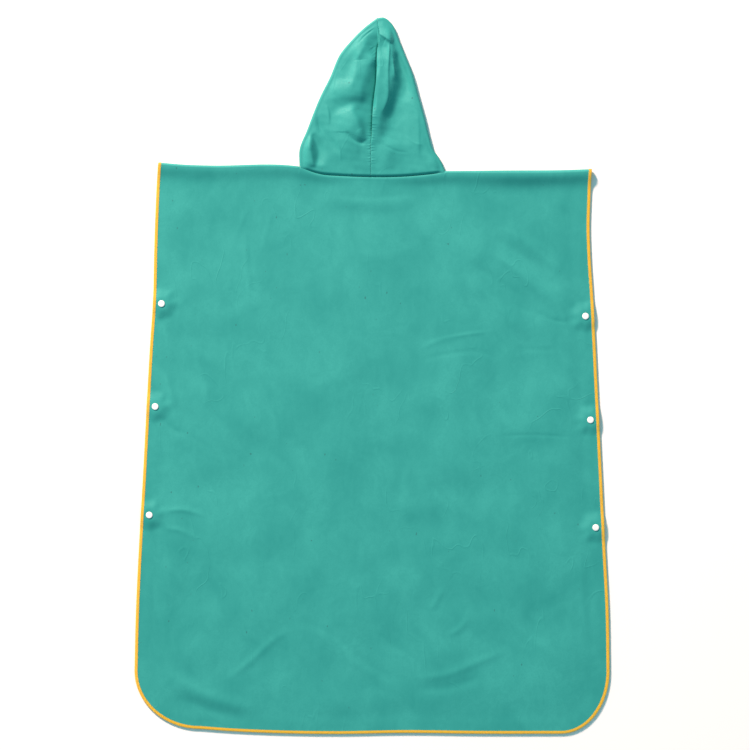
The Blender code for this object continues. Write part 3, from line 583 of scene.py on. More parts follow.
# Profiles of the turned pieces, as shares of their radius and height from the middle of the
# base round to the middle of the top.
Profile = namedtuple("Profile", "radius height")
CAP_PROFILE = (
    Profile(0.0, 0.0),
    Profile(0.94, 0.0),
    Profile(1.0, 0.1),
    Profile(1.0, 0.3),
    Profile(0.985, 0.52),
    Profile(0.94, 0.72),
    Profile(0.85, 0.87),
    Profile(0.7, 0.96),
    Profile(0.5, 1.0),
    Profile(0.3, 0.985),
    Profile(0.0, 0.95),
)
SOCKET_PROFILE = (
    Profile(0.0, 0.0),
    Profile(0.93, 0.0),
    Profile(1.0, 0.1),
    Profile(1.0, 0.36),
    Profile(0.93, 0.52),
    Profile(0.8, 0.62),
    Profile(0.78, 0.92),
    Profile(0.72, 1.0),
    Profile(0.5, 1.0),
    Profile(0.44, 0.92),
    Profile(0.42, 0.3),
    Profile(0.0, 0.26),
)
ROUND_SIDES = 40

# Steps between the rows and columns of points in the cloth, along each half of the neck and
# round the turn at its end, and up the hood. The opening for the face ends two thirds of the
# way up.
HOOD_NECK_STEPS = 96
HOOD_CROWDING = 1.42
HOOD_FRONT_STEPS = 40
HOOD_TURN_STEPS = 14
HOOD_ROWS = 240
FACE_TOP_ROW = 160

# A panel's steps: across the near side, along the shoulder and the neck, round the end of the
# neck and the shoulder, down to each next group of rows and to the hem, and round a snap.
NEAR_SIDE = 34.0
BELOW_SHOULDER = 40.0
Steps = namedtuple("Steps", "side shoulder neck corner turn top rows snap")
BACK_STEPS = Steps(17, 54, 32, 3, 9, 20, (44, 33, 36, 62, 22), 26)
FRONT_STEPS = Steps(11, 30, 22, 3, 7, 10, (24, 18, 20, 34, 14), 17)

# Reach over which a panel's upper end is evened out for the cloth below it, and how far below
# it that is complete.
END_EVENING = 20.0
END_EVENED_FROM = 12.0

# Row and column, clear of every edge, at which a cloth's faces are compared with its normals.
PROBE = 5

# Angles in degrees above which the edge between two faces is sharp.
SHARP_CLOTH = 40
SHARP_THREAD = 75
SHARP_PLASTIC = 50

# Overlock stitches of the edging: the thread, the space from one to the next, the core that
# they are wound round, and the way of each round the edge: out from the cloth, as shares of
# the height, and along it in pitches.
THREAD_RADIUS = 0.42
THREAD_SIDES = 4
STITCH_PITCH = 1.55
EDGING_CORE_GAP = SEAM_GAP / 3
EDGING_CORE_INSET = 0.45
CORE_SPACING = 2.5
LOOP_MIDDLE = 0.6
Loop = namedtuple("Loop", "out height along")
LOOPS = (
    Loop(-0.7, 0.96, 0.0),
    Loop(0.7, 1.0, 0.1),
    Loop(2.6, 1.0, 0.35),
    Loop(4.2, 0.93, 0.6),
    Loop(4.9, 0.5, 0.72),
    Loop(4.2, 0.07, 0.85),
    Loop(2.6, 0.0, 1.05),
    Loop(0.6, 0.0, 1.3),
)

# Stitches across the hood's centre seam, which start and end a little way inside it.
SEAM_STITCH_RADIUS = 0.22
SEAM_STITCH_SIDES = 6
SEAM_STITCH_POINTS = 5
SEAM_STITCH_PITCH = 3.2
SEAM_STITCH_REACH = 1.0
SEAM_STITCH_SLANT = 0.25
SEAM_STITCHES_FROM = 4.0
SEAM_STITCHES_END = 6.0

# Points with which smooth curves are worked out.
CURVE_POINTS = 400
SIDE_POINTS = 200
CORNER_POINTS = 60
HEM_POINTS = 200
RIM_POINTS = 2400
OUTLINE_POINTS = 600
NECK_POINTS = 200


# Curves -------------------------------------------------------------------------------------


def through(rows, at, column=1):
    """Value of the smooth curve through the rows of a table, read at other places."""
    table = np.array(rows, float)
    place, value = table[:, 0], table[:, column]
    slope = np.gradient(value, place)
    left = np.clip(np.searchsorted(place, at, side="right") - 1, 0, len(place) - 2)
    span = place[left + 1] - place[left]
    t = (at - place[left]) / span
    start = value[left] * (1 + 2 * t) * (1 - t) ** 2 + slope[left] * span * t * (1 - t) ** 2
    end = value[left + 1] * t**2 * (3 - 2 * t) - slope[left + 1] * span * t**2 * (1 - t)
    return start + end


def reach(points):
    """Distance run along a path at each of its points."""
    return np.concatenate([[0], np.cumsum(np.linalg.norm(np.diff(points, axis=0), axis=1))])


def resample(points, shares):
    """Points at the given shares of a path's length."""
    run = reach(points)
    columns = [np.interp(np.asarray(shares) * run[-1], run, column) for column in points.T]
    return np.column_stack(columns)


def smooth_path(rows, shares):
    """Points at the given shares of the length of the smooth curve through the rows."""
    rows = np.array(rows, float)
    run = reach(rows)
    fine = np.linspace(0, run[-1], CURVE_POINTS)
    curve = [through(np.column_stack([run, column]), fine) for column in rows.T]
    return resample(np.column_stack(curve), shares)


def even(steps):
    """Shares from 0 to 1 in even steps."""
    return np.linspace(0, 1, steps + 1)


def ladder(stops, steps):
    """Places through every stop, with the given number of steps from each stop to the next."""
    runs = [np.linspace(a, b, n, endpoint=False) for a, b, n in zip(stops, stops[1:], steps)]
    return np.concatenate(runs + [stops[-1:]])


def unit(vectors):
    """Vectors of the same directions and length 1."""
    return vectors / np.linalg.norm(vectors, axis=-1, keepdims=True)


def level(vectors, across):
    """Unit vectors square to the direction across a seam, so that both its faces agree."""
    return unit(vectors - np.sum(vectors * across, axis=-1, keepdims=True) * across)


def soft_step(value):
    """Smooth rise from 0 to 1 as the value goes from 0 to 1."""
    value = np.clip(value, 0, 1)
    return value * value * (3 - 2 * value)


def bell(value):
    """1 at 0, falling smoothly to nothing on both sides."""
    return np.exp(-(value**2))


def nearest(path, points):
    """Index of the nearest point of a path to each plan point, and its distance."""
    tree = KDTree(len(path))
    for index, (across, up) in enumerate(path.tolist()):
        tree.insert((across, up, 0), index)
    tree.balance()
    found = [tree.find((across, up, 0))[1:] for across, up in points.reshape(-1, 2).tolist()]
    index, away = np.array(found).T
    shape = points.shape[:-1]
    return index.astype(int).reshape(shape), away.reshape(shape)


def distance_to(path, points):
    """Distance from each plan point to a path."""
    return nearest(path, points)[1]


def crests(fold):
    """The crests of a fold, or those that an even crease stands for."""
    if isinstance(fold, Fold):
        return fold.crests
    return [Crest(across, up, fold.rise, fold.left, fold.right) for across, up in fold.path]


def powers(fold):
    """How the left and the right flank of a fold or crease fall."""
    if isinstance(fold, Fold):
        return fold.left_power, fold.right_power
    return fold.power, fold.power


def crest_line(fold):
    """A fold's crests filled in to a smooth line of evenly spaced ones."""
    rows = np.array(crests(fold), float)
    run = reach(rows[:, :2])
    fine = np.linspace(0, run[-1], FOLD_SAMPLES + 1)
    return np.column_stack([through(np.column_stack([run, column]), fine) for column in rows.T])


def fold_height(points, fold):
    """Height that one fold adds at a list of plan points."""
    line = crest_line(fold)
    path = line[:, :2]
    heading = unit(np.gradient(path, axis=0))
    spacing = reach(path)[-1] / FOLD_SAMPLES
    index, _ = nearest(path, points)
    away = points - path[index]
    along = heading[index]
    to_left = along[:, 0] * away[:, 1] - along[:, 1] * away[:, 0]
    place = index + np.sum(along * away, axis=1) / spacing
    rise, left, right = (np.interp(place, np.arange(FOLD_SAMPLES + 1), column) for column in line.T[2:])
    share = place / FOLD_SAMPLES
    ends = soft_step(np.minimum(share, 1 - share) / fold.fade)
    left_power, right_power = powers(fold)
    width = np.where(to_left > 0, left, right)
    power = np.where(to_left > 0, left_power, right_power)
    return rise * ends * np.exp(-(np.abs(to_left / width) ** power))


def relief(points, folds):
    """Height that the folds add in a grid of plan points."""
    total = np.zeros(points.shape[:-1])
    for fold in folds:
        rows = np.array(crests(fold), float)
        margin = 3 * rows[:, 3:].max()
        low, high = rows[:, :2].min(0) - margin, rows[:, :2].max(0) + margin
        near = np.all((points > low) & (points < high), axis=-1)
        if near.any():
            total[near] += fold_height(points[near], fold)
    return total


def random_waves(points, length, seed):
    """Gentle random rise and fall, about -1 to 1, whose waves are about the given length."""
    random = np.random.default_rng(seed)
    total = np.zeros(points.shape[:-1])
    least, most = (0, 0, LEAST_STRETCH), (np.pi, 2 * np.pi, MOST_STRETCH)
    for _ in range(WAVES_IN_ROW):
        angle, phase, stretch = random.uniform(least, most)
        run = points[..., 0] * np.cos(angle) + points[..., 1] * np.sin(angle)
        total += np.sin(2 * np.pi * run / (length * stretch) + phase)
    return total / math.sqrt(WAVES_IN_ROW)


def unevenness(points, rows):
    """Height that every row of a table of waves adds at the plan points."""
    return sum(row.rise * random_waves(points, row.length, row.seed) for row in rows)


# Outline of the body ------------------------------------------------------------------------


def quarter(centre, width, depth, start):
    """Quarter ellipse below its centre, running anticlockwise from the given angle."""
    angles = np.radians(start + 90 * even(CORNER_POINTS))
    across = centre[0] + width * np.cos(angles)
    up = centre[1] + depth * np.sin(angles)
    return np.column_stack([across, up])


def rim(inset):
    """The body's outline moved in, from the left shoulder round the hem to the right one."""
    downs = np.linspace(SIDES[0].down, SIDES[-1].down, SIDE_POINTS)
    last = SIDES[-1]
    left = np.column_stack([-through(SIDES, downs, 1), -downs])
    right = np.column_stack([through(SIDES, downs, 2), -downs])
    left_centre = (LEFT_CORNER.width - last.left, -last.down)
    right_centre = (last.right - RIGHT_CORNER.width, -last.down)
    left_turn = quarter(left_centre, LEFT_CORNER.width, LEFT_CORNER.depth, 180)
    right_turn = quarter(right_centre, RIGHT_CORNER.width, RIGHT_CORNER.depth, 270)
    across = np.linspace(HEM[0].across, HEM[-1].across, HEM_POINTS)[1:-1]
    hem = np.column_stack([across, -through(HEM, across)])
    path = np.vstack([left[:-1], left_turn, hem, right_turn, right[::-1][1:]])
    path = resample(path, even(RIM_POINTS))
    heading = unit(np.gradient(path, axis=0))
    inwards = np.column_stack([-heading[:, 1], heading[:, 0]])
    return path + inset * inwards


def side_point(edge, side, up):
    """Point of an outline's left or right side at a level."""
    half = edge[edge[:, 0] * side > 0]
    half = half[np.argsort(half[:, 1])]
    return np.column_stack([np.interp(up, half[:, 1], half[:, 0]), np.atleast_1d(up)])


def snap_places():
    """Plan point of each snap, in the order of its table."""
    edge = rim(SNAP_INSET)
    sides = {"left": -1, "right": 1}
    return np.vstack([side_point(edge, sides[snap.side], -snap.down) for snap in SNAPS])


# Neck edge ----------------------------------------------------------------------------------

Seam = namedtuple("Seam", "points normals across turn")


def neck_edge(side, back_steps, turn_steps, front_steps, crowding=1.0):
    """Line that joins hood and body, from the middle of the back round the turn at the end of
    the neck to the middle of the front, with the cloth's normals, the direction from body to
    hood, and the angle through which the cloth has turned. Crowding above 1 brings the points
    closer together towards the middle of the back."""
    neck = NECK[side]
    outward = np.array(neck.outward)
    start = np.array(neck.corner) - ROLL * outward
    back = smooth_path(neck.back + (Point(*start),), even(back_steps) ** crowding)
    front = smooth_path(neck.front + (Point(*start),), even(front_steps))[::-1]
    angles = np.pi * even(turn_steps)[1:-1]
    turn = start + ROLL * np.sin(angles)[:, None] * outward
    plan = np.vstack([back, turn, front])
    turned = np.concatenate([np.zeros(back_steps + 1), angles, np.full(front_steps + 1, np.pi)])
    height = ROLL * (1 + np.cos(turned))
    height[: back_steps + 1] = through(SHOULDER_LOFT, back[:, 0])
    height[back_steps] = 2 * ROLL
    points = np.column_stack([plan, height])
    normals = np.column_stack([np.sin(turned)[:, None] * outward, np.cos(turned)])
    heading = unit(np.gradient(points, axis=0))
    across = unit(np.cross(normals, heading))
    across *= np.sign(across[:, 1:2])
    return Seam(points, level(normals, across), across, turned)


# Cloth --------------------------------------------------------------------------------------


def patch(left, right, bottom, top):
    """Plan points filling four edges: rows from bottom to top, columns from left to right."""
    u = (reach(bottom) / reach(bottom)[-1] + reach(top) / reach(top)[-1]) / 2
    v = (reach(left) / reach(left)[-1] + reach(right) / reach(right)[-1]) / 2
    u = u[None, :, None]
    v = v[:, None, None]
    sides = (1 - u) * left[:, None] + u * right[:, None]
    ends = (1 - v) * bottom[None] + v * top[None]
    low = (1 - u) * left[0] + u * right[0]
    high = (1 - u) * left[-1] + u * right[-1]
    return sides + ends - (1 - v) * low - v * high


def grid_normals(grid, upward):
    """Unit normals of a grid of points, up or down where the cloth lies level."""
    normals = unit(np.cross(np.gradient(grid, axis=1), np.gradient(grid, axis=0)))
    middle = normals[normals.shape[0] // 2, : normals.shape[1] // 3, 2]
    return normals * np.sign(middle.mean()) * upward


def every_other(count):
    """Every other index up to a count, the last one included."""
    return np.unique(np.append(np.arange(0, count, 2), count - 1))


def edge_faces(outer, inner, rows, columns):
    """Faces across the cloth's thickness round its edge, from its outer to its coarser inner
    side."""
    last_row, last_column = outer.shape[0] - 1, outer.shape[1] - 1
    runs = (
        (outer[0], inner[0], columns),
        (outer[:, -1], inner[:, -1], rows),
        (outer[-1, ::-1], inner[-1, ::-1], last_column - columns[::-1]),
        (outer[::-1, 0], inner[::-1, 0], last_row - rows[::-1]),
    )
    faces = []
    for outer_run, inner_run, kept in runs:
        for step, (start, stop) in enumerate(zip(kept, kept[1:])):
            span = outer_run[start : stop + 1][::-1].tolist()
            faces.append([*span, int(inner_run[step]), int(inner_run[step + 1])])
    return faces


def quads(index):
    """Faces between the neighbouring points of a grid of indices."""
    corners = [index[:-1, :-1], index[:-1, 1:], index[1:, 1:], index[1:, :-1]]
    return np.stack(corners, axis=-1).reshape(-1, 4).tolist()


def cloth(name, grid, normals, material):
    """Cloth of even thickness under a grid of its outer side, finer outside than inside."""
    count_rows, count_columns = grid.shape[:2]
    rows, columns = every_other(count_rows), every_other(count_columns)
    inner = (grid - WALL * normals)[np.ix_(rows, columns)]
    points = np.vstack([grid.reshape(-1, 3), inner.reshape(-1, 3)])
    outer_index = np.arange(count_rows * count_columns).reshape(count_rows, count_columns)
    inner_index = np.arange(len(rows) * len(columns)).reshape(len(rows), -1) + outer_index.size
    faces = quads(outer_index) + quads(inner_index[:, ::-1])
    faces += edge_faces(outer_index, inner_index, rows, columns)
    probe = grid[PROBE : PROBE + 2, PROBE : PROBE + 2]
    facing = np.cross(probe[0, 1] - probe[0, 0], probe[1, 0] - probe[0, 0]) @ normals[PROBE, PROBE]
    return piece(name, points, faces, material, facing < 0)


def piece(name, points, faces, material, flip=False, sharp=SHARP_CLOTH):
    """Object from points in millimetres on the garment."""
    mesh = bpy.data.meshes.new(name)
    placed = (np.asarray(points) + (0, SHOULDER_LINE, 0)) * MM
    mesh.from_pydata(placed.tolist(), [], faces)
    if flip:
        mesh.flip_normals()
    mesh.materials.append(material)
    mesh.shade_smooth()
    mesh.set_sharp_from_angle(angle=math.radians(sharp))
    made = bpy.data.objects.new(name, mesh)
    bpy.context.scene.collection.objects.link(made)
    return made


# Body panels --------------------------------------------------------------------------------

Ends = namedtuple("Ends", "points normals across turn radius")


def shoulder_end(across, face):
    """Where a panel meets the other along one shoulder: half way round the soft roll."""
    radius = through(SHOULDER_LOFT, across) / 2
    points = np.column_stack([across, through(SHOULDER, across), radius])
    normals = np.tile([0.0, 1.0, 0.0], (len(across), 1))
    towards_other = np.tile([0.0, 0.0, -float(face)], (len(across), 1))
    return Ends(points, normals, towards_other, np.full(len(across), np.pi / 2), radius)


def neck_end(face, steps):
    """The panel's own part of the neck edge, from its left end to its right end."""
    split = steps.neck + steps.corner
    from_middle = slice(None, split + 1) if face > 0 else slice(None, split - 1, -1)
    edges = (neck_edge(side, steps.neck, 2 * steps.corner, steps.neck) for side in (-1, 1))
    left, right = ([field[from_middle] for field in edge] for edge in edges)
    points, normals, across, turn = (np.concatenate([a[::-1], b[1:]]) for a, b in zip(left, right))
    points[[0, -1], 2] += face * SEAM_GAP / 2
    turn = turn if face > 0 else np.pi - turn
    return Ends(points, normals, across, turn, np.full(len(points), ROLL))


def panel_top(edge, face, steps):
    """The whole upper end of a panel: left shoulder, neck and right shoulder."""
    neck = neck_end(face, steps)
    outer_left = side_point(edge, -1, through(SHOULDER, -SHOULDER_END))[0, 0]
    outer_right = side_point(edge, 1, through(SHOULDER, SHOULDER_END))[0, 0]
    run_left = neck.points[0, 0] - outer_left
    run_right = outer_right - neck.points[-1, 0]
    stops = np.array([0, NEAR_SIDE, run_left])
    shares = ladder(stops, [steps.side, steps.shoulder])[:-1] / run_left
    left = shoulder_end(outer_left + shares * run_left, face)
    right = shoulder_end(outer_right - shares[::-1] * run_right, face)
    points, normals, across, turn, radius = (np.concatenate(fields) for fields in zip(left, neck, right))
    return Ends(points - across * SEAM_GAP / 2, normals, across, turn, radius)


def side_levels(side, top, bottom, steps):
    """Levels of a panel's rows down one side, closer together round each snap."""
    downs = [snap.down for snap in SNAPS if snap.side == side]
    near = [down + offset for down in downs for offset in (-SNAP_REACH, SNAP_REACH)]
    stops = np.array([-top, BELOW_SHOULDER - top, *near, SIDES[-1].down, -bottom])
    first, second, third, fourth, last = steps.rows
    counts = [steps.top, first, steps.snap, second, steps.snap, third, steps.snap, fourth, last]
    return -ladder(stops, counts)[::-1]


def hem_shares(top, length, steps):
    """Shares of the hem at which the columns end: as close to the sides as they are at the
    top, so that they run down past the snaps, and more evenly spread between."""
    near = steps.side
    middle = reach(top[near:-near])
    spread = (middle / middle[-1] + even(len(middle) - 1)) / 2
    inner = NEAR_SIDE + spread * (length - 2 * NEAR_SIDE)
    outer = np.linspace(0, NEAR_SIDE, near, endpoint=False)
    return np.concatenate([outer, inner, length - outer[::-1]]) / length


def turn_middle(edge, side):
    """Index of the outline's point half way round a bottom corner."""
    last = SIDES[-1]
    corner = LEFT_CORNER if side < 0 else RIGHT_CORNER
    half_way = math.sqrt(0.5)
    across = (last.left if side < 0 else last.right) - (1 - half_way) * corner.width
    middle = (side * across, -last.down - half_way * corner.depth)
    return int(np.linalg.norm(edge - middle, axis=1).argmin())


def panel_plan(face, steps):
    """Upper end and plan points of a panel below it, rows from the hem to the shoulder."""
    edge = rim(CLOTH_INSET)
    end = panel_top(edge, face, steps)
    top = end.points[:, :2].copy()
    top[:, 1] -= end.radius * np.sin(end.turn) + TURN_LEAD * np.cos(end.turn)
    first, last = turn_middle(edge, -1), turn_middle(edge, 1)
    hem = edge[first : last + 1]
    left = side_point(edge, -1, side_levels("left", top[0, 1], hem[0, 1], steps))
    right = side_point(edge, 1, side_levels("right", top[-1, 1], hem[-1, 1], steps))
    top[[0, -1]] = left[-1], right[-1]
    bottom = resample(hem, hem_shares(top, reach(hem)[-1], steps))
    left[0], right[0] = bottom[0], bottom[-1]
    return end, patch(left, right, bottom, top)


def snap_share(points):
    """How far the cloth is lifted round the snaps: 1 over their pieces, 0 away from them."""
    away = distance_to(snap_places(), points)
    return soft_step((SNAP_REACH - away) / (SNAP_REACH - SNAP_FLAT))


def snap_creases(points):
    """Small creases that run out from each cap, from its edge to where the cloth lies flat."""
    index, away = nearest(snap_places(), points)
    offset = points - snap_places()[index]
    angle = np.arctan2(offset[..., 1], offset[..., 0]) + SNAP_CREASE_TURN * index
    waves = sum(crease.rise * np.cos(crease.rate * angle + crease.shift) for crease in SNAP_CREASES)
    begun = soft_step((away - CAP_RADIUS) / SNAP_CREASE_BEGINS)
    lasting = soft_step((SNAP_REACH + SNAP_CREASE_PAST - away) / SNAP_CREASE_FADE)
    return SNAP_CREASE_RISE * waves * (begun * lasting)


def below_upper_end(plan):
    """Distance of each point below the upper end, which is evened out away from that end."""
    across, end = plan[-1].T
    weights = bell((across[:, None] - across) / END_EVENING) * np.gradient(across)
    evened = weights @ end / weights.sum(axis=1)
    below = end - plan[..., 1]
    share = soft_step(below / END_EVENED_FROM)
    return below + share * (evened - end)


def back_height(plan):
    """Upper side of the back where it lies on the front, in a grid of plan points."""
    inside = distance_to(rim(CLOTH_INSET), plan)
    at_edge = soft_step((EDGE_LIFT_TO - inside) / (EDGE_LIFT_TO - EDGE_LIFT_FROM))
    folds = BODY_LOFT + relief(plan, BODY_FOLDS)
    folds += unevenness(plan, BODY_WAVES)
    height = BACK_REST + EDGING_EXTRA * at_edge
    height += np.maximum(folds, LEAST_LOFT) * soft_step(inside / BODY_LOFT_REACH)
    below_end = below_upper_end(plan)
    fall = through(SHOULDER_LOFT, plan[..., 0], 2)
    height += (through(SHOULDER_LOFT, plan[..., 0]) - height) * bell(below_end / fall)
    height += snap_creases(plan)
    return height + (BACK_LIFT - height) * snap_share(plan)


def front_height(plan):
    """Under side of the front: on the surface, lifted over the snaps' front caps."""
    return FRONT_LIFT * snap_share(plan)


def turn_row(end, face, share):
    """Row of points at a share of the way round the turn at a panel's upper end."""
    angle = end.turn * share
    lead = TURN_LEAD * np.cos(end.turn) * (1 - share)
    row = end.points.copy()
    row[:, 1] -= end.radius * (np.sin(end.turn) - np.sin(angle)) + lead
    row[:, 2] += face * end.radius * (np.cos(angle) - np.cos(end.turn))
    return row


def press_neck(grid, end):
    """Raises the welt along the back's neck seam and sinks its edge into the seam's valley."""
    away = end.points[:, 1] - grid[..., 1]
    across = end.points[:, 0]
    from_ends = np.minimum(across - NECK[-1].corner.across, NECK[1].corner.across - across)
    along_neck = soft_step(from_ends / NECK_FADE)
    welt = WELT_RISE * bell((away - WELT_AT) / WELT_WIDTH)
    valley = VALLEY_DEPTH * bell(away / VALLEY_WIDTH)
    grid[..., 2] += along_neck * (welt - valley)


def panel_grid(face, steps, height):
    """Outer side of a panel with its normals: the plan's rows, then those round the roll."""
    end, plan = panel_plan(face, steps)
    flat = np.dstack([plan, height(plan)])
    turn = np.stack([turn_row(end, face, share) for share in even(steps.turn)[1:]])
    grid = np.concatenate([flat, turn])
    if face > 0:
        press_neck(grid, end)
    normals = grid_normals(grid, face)
    normals[-1] = level(end.normals, end.across)
    square = level(border(normals), border_outward(grid, steps))
    rows = len(grid)
    normals[::-1, 0] = square[:rows]
    normals[0, 1:-1] = square[rows:-rows]
    normals[:, -1] = square[-rows:]
    return grid, normals


# Overlocked edging --------------------------------------------------------------------------


def border(field):
    """Edge of a panel's grid: down its left side, along the hem and up its right side."""
    return np.concatenate([field[::-1, 0], field[0, 1:-1], field[:, -1]])


def border_outward(grid, steps):
    """Level direction out of the panel all along its border."""
    edge = border(grid)
    neighbours = np.concatenate([grid[::-1, 1], grid[1, 1:-1], grid[:, -2]])
    heading = unit(np.gradient(edge[:, :2], axis=0) + 1e-9)
    outward = np.column_stack([heading[:, 1], -heading[:, 0], np.zeros(len(edge))])
    outward *= np.sign(np.sum(outward * (edge - neighbours), axis=1, keepdims=True))
    turn_rows = steps.turn + 1
    outward[:turn_rows] = (-1, 0, 0)
    outward[-turn_rows:] = (1, 0, 0)
    return outward


def edge_frames(grid, normals, steps, spacing):
    """Points, normals and outward directions at even spaces along a panel's border."""
    fields = np.hstack([border(grid), border(normals), border_outward(grid, steps)])
    run = reach(fields[:, :3])
    places = np.linspace(0, run[-1], int(run[-1] / spacing) + 1)
    even_fields = np.column_stack([np.interp(places, run, column) for column in fields.T])
    return even_fields[:, :3], unit(even_fields[:, 3:6]), unit(even_fields[:, 6:])


def edging(name, grid, normals, face, steps, material):
    """Overlocked edge outside a panel's sides and hem: a core, and the thread wound round it."""
    high = EDGING_EXTRA if face > 0 else 0.0
    low = high - WALL - EDGING_EXTRA
    points, faces = edging_core(grid, normals, steps, high, low)
    threads = edging_threads(grid, normals, steps, high, low)
    thread_points, thread_faces = tubes(threads, THREAD_RADIUS, THREAD_SIDES)
    faces += [[index + len(points) for index in corners] for corners in thread_faces]
    return piece(name, np.vstack([points, thread_points]), faces, material, sharp=SHARP_THREAD)


def edging_core(grid, normals, steps, high, low):
    """Rounded strip that fills the inside of the edging."""
    edge, normal, outward = edge_frames(grid, normals, steps, CORE_SPACING)
    high -= EDGING_CORE_INSET
    low += EDGING_CORE_INSET
    near, far = EDGING_CORE_GAP, CLOTH_INSET - EDGING_CORE_INSET
    round_from = far - EDGING_ROUND
    section = ((near, low), (near, high), (round_from, high), (far, (high + low) / 2), (round_from, low))
    rings = np.stack([edge + out * outward + rise * normal for out, rise in section], axis=1)
    count, sides = rings.shape[:2]
    index = np.arange(count * sides).reshape(count, sides)
    around = np.column_stack([index, index[:, 0]])
    ends = [index[0].tolist(), index[-1, ::-1].tolist()]
    facing = np.cross(rings[0, 1] - rings[0, 0], rings[1, 0] - rings[0, 0]) @ outward[0]
    faces = quads(around) + ends
    if facing > 0:
        faces = [face[::-1] for face in faces]
    return rings.reshape(-1, 3), faces


def edging_threads(grid, normals, steps, high, low):
    """Centre line of each stitch's thread, from the cloth round the edge and back beneath."""
    edge, normal, outward = edge_frames(grid, normals, steps, STITCH_PITCH)
    heading = unit(np.gradient(edge, axis=0))
    top, bottom = high - THREAD_RADIUS, low + THREAD_RADIUS
    lines = []
    for loop in LOOPS:
        rise = bottom + loop.height * (top - bottom)
        slide = (loop.along - LOOP_MIDDLE) * STITCH_PITCH
        lines.append(edge + loop.out * outward + rise * normal + slide * heading)
    return np.stack(lines, axis=1)[1:-1]


def tubes(paths, radius, sides):
    """Points and faces of closed tubes along many paths of equally many points."""
    tangent = unit(np.gradient(paths, axis=1))
    guide = unit(np.roll(paths[:, 0], -1, axis=0) - paths[:, 0])
    guide[-1] = guide[-2]
    first = unit(np.cross(tangent, guide[:, None]))
    second = np.cross(tangent, first)
    angles = 2 * np.pi * np.arange(sides) / sides
    ring = [np.cos(a) * first + np.sin(a) * second for a in angles]
    points = paths[:, :, None] + radius * np.stack(ring, axis=2)
    count, along = paths.shape[:2]
    index = np.arange(count * along * sides).reshape(count, along, sides)
    around = np.concatenate([index, index[:, :, :1]], axis=2)
    corners = [around[:, :-1, :-1], around[:, :-1, 1:], around[:, 1:, 1:], around[:, 1:, :-1]]
    faces = np.stack(corners, axis=-1).reshape(-1, 4).tolist()
    faces += index[:, 0, ::-1].tolist() + index[:, -1].tolist()
    return points.reshape(-1, 3), faces


# Hood ---------------------------------------------------------------------------------------


def seam_path(steps=HOOD_ROWS):
    """The hood's centre seam in plan, ending just short of the crown, and its last heading."""
    heading = unit(np.array(CROWN) - np.array(HOOD_SEAM[-2]))
    end = np.array(CROWN) - (ROLL + CROWN_FLAT) * heading
    return smooth_path(HOOD_SEAM[:-1] + (Point(*end),), even(steps)), heading


def hood_outline(side, shares):
    """The hood's edge in plan on one side, from the end of the neck to the crown."""
    return smooth_path((NECK[side].corner,) + HOOD_OUTLINE[side] + (CROWN,), shares)


def fold_line(side, crown_heading):
    """Where the hood's upper layer starts to turn under, with the way that it turns."""
    neck_outward = np.array(NECK[side].outward)
    outline = hood_outline(side, even(HOOD_ROWS))
    heading = unit(np.gradient(outline, axis=0))
    outward = side * np.column_stack([heading[:, 1], -heading[:, 0]])
    share = even(HOOD_ROWS)[:, None]
    outward += END_SWING * neck_outward * bell(share / END_SHARE)
    outward += END_SWING * crown_heading * bell((1 - share) / END_SHARE)
    outward[0] = neck_outward
    outward[-1] = crown_heading
    outward = unit(outward)
    return outline - ROLL * outward, outward


def neck_line():
    """The back of the neck in plan. The rest of the neck edge isn't wanted here, so it has few
    points."""
    edges = [neck_edge(side, NECK_POINTS, turn_steps=4, front_steps=4) for side in (-1, 1)]
    return np.vstack([edge.points[: NECK_POINTS + 1, :2] for edge in edges])


def under_pleat(up):
    """Share of the pleat's full overhang at the given levels."""
    begun = soft_step((up - OVERHANG_FROM) / OVERHANG_BEGINS)
    return begun * soft_step((OVERHANG_TO - up) / OVERHANG_ENDS)


def seam_relief(plan, side):
    """Puckers beside the hood's centre seam, and the valley and the crevice in which it lies."""
    seam, _ = seam_path(OUTLINE_POINTS)
    index, away = nearest(seam, plan)
    up = seam[index, 1]
    stretch = soft_step((up - PUCKERS_FROM) / PUCKERS_BEGIN) * soft_step((PUCKERS_TO - up) / PUCKERS_END)
    beside = bell(away / PUCKER_REACH) * soft_step(away / PUCKER_START)
    phase = 2 * np.pi * up / PUCKER_PITCH + PUCKER_SHIFT * side
    beat, small = (
        ripple.rise * np.sin(ripple.rate * phase + ripple.shift)
        for ripple in (PUCKER_BEAT, SMALL_PUCKERS)
    )
    puckers = PUCKER_RISE * (np.sin(phase) * beat + small) * stretch * beside
    depth, width = CENTRE_VALLEY[side]
    crevice = CREVICE_DEPTH * under_pleat(up) * bell(away / CREVICE_WIDTH[side])
    return puckers - depth * bell(away / width) - crevice


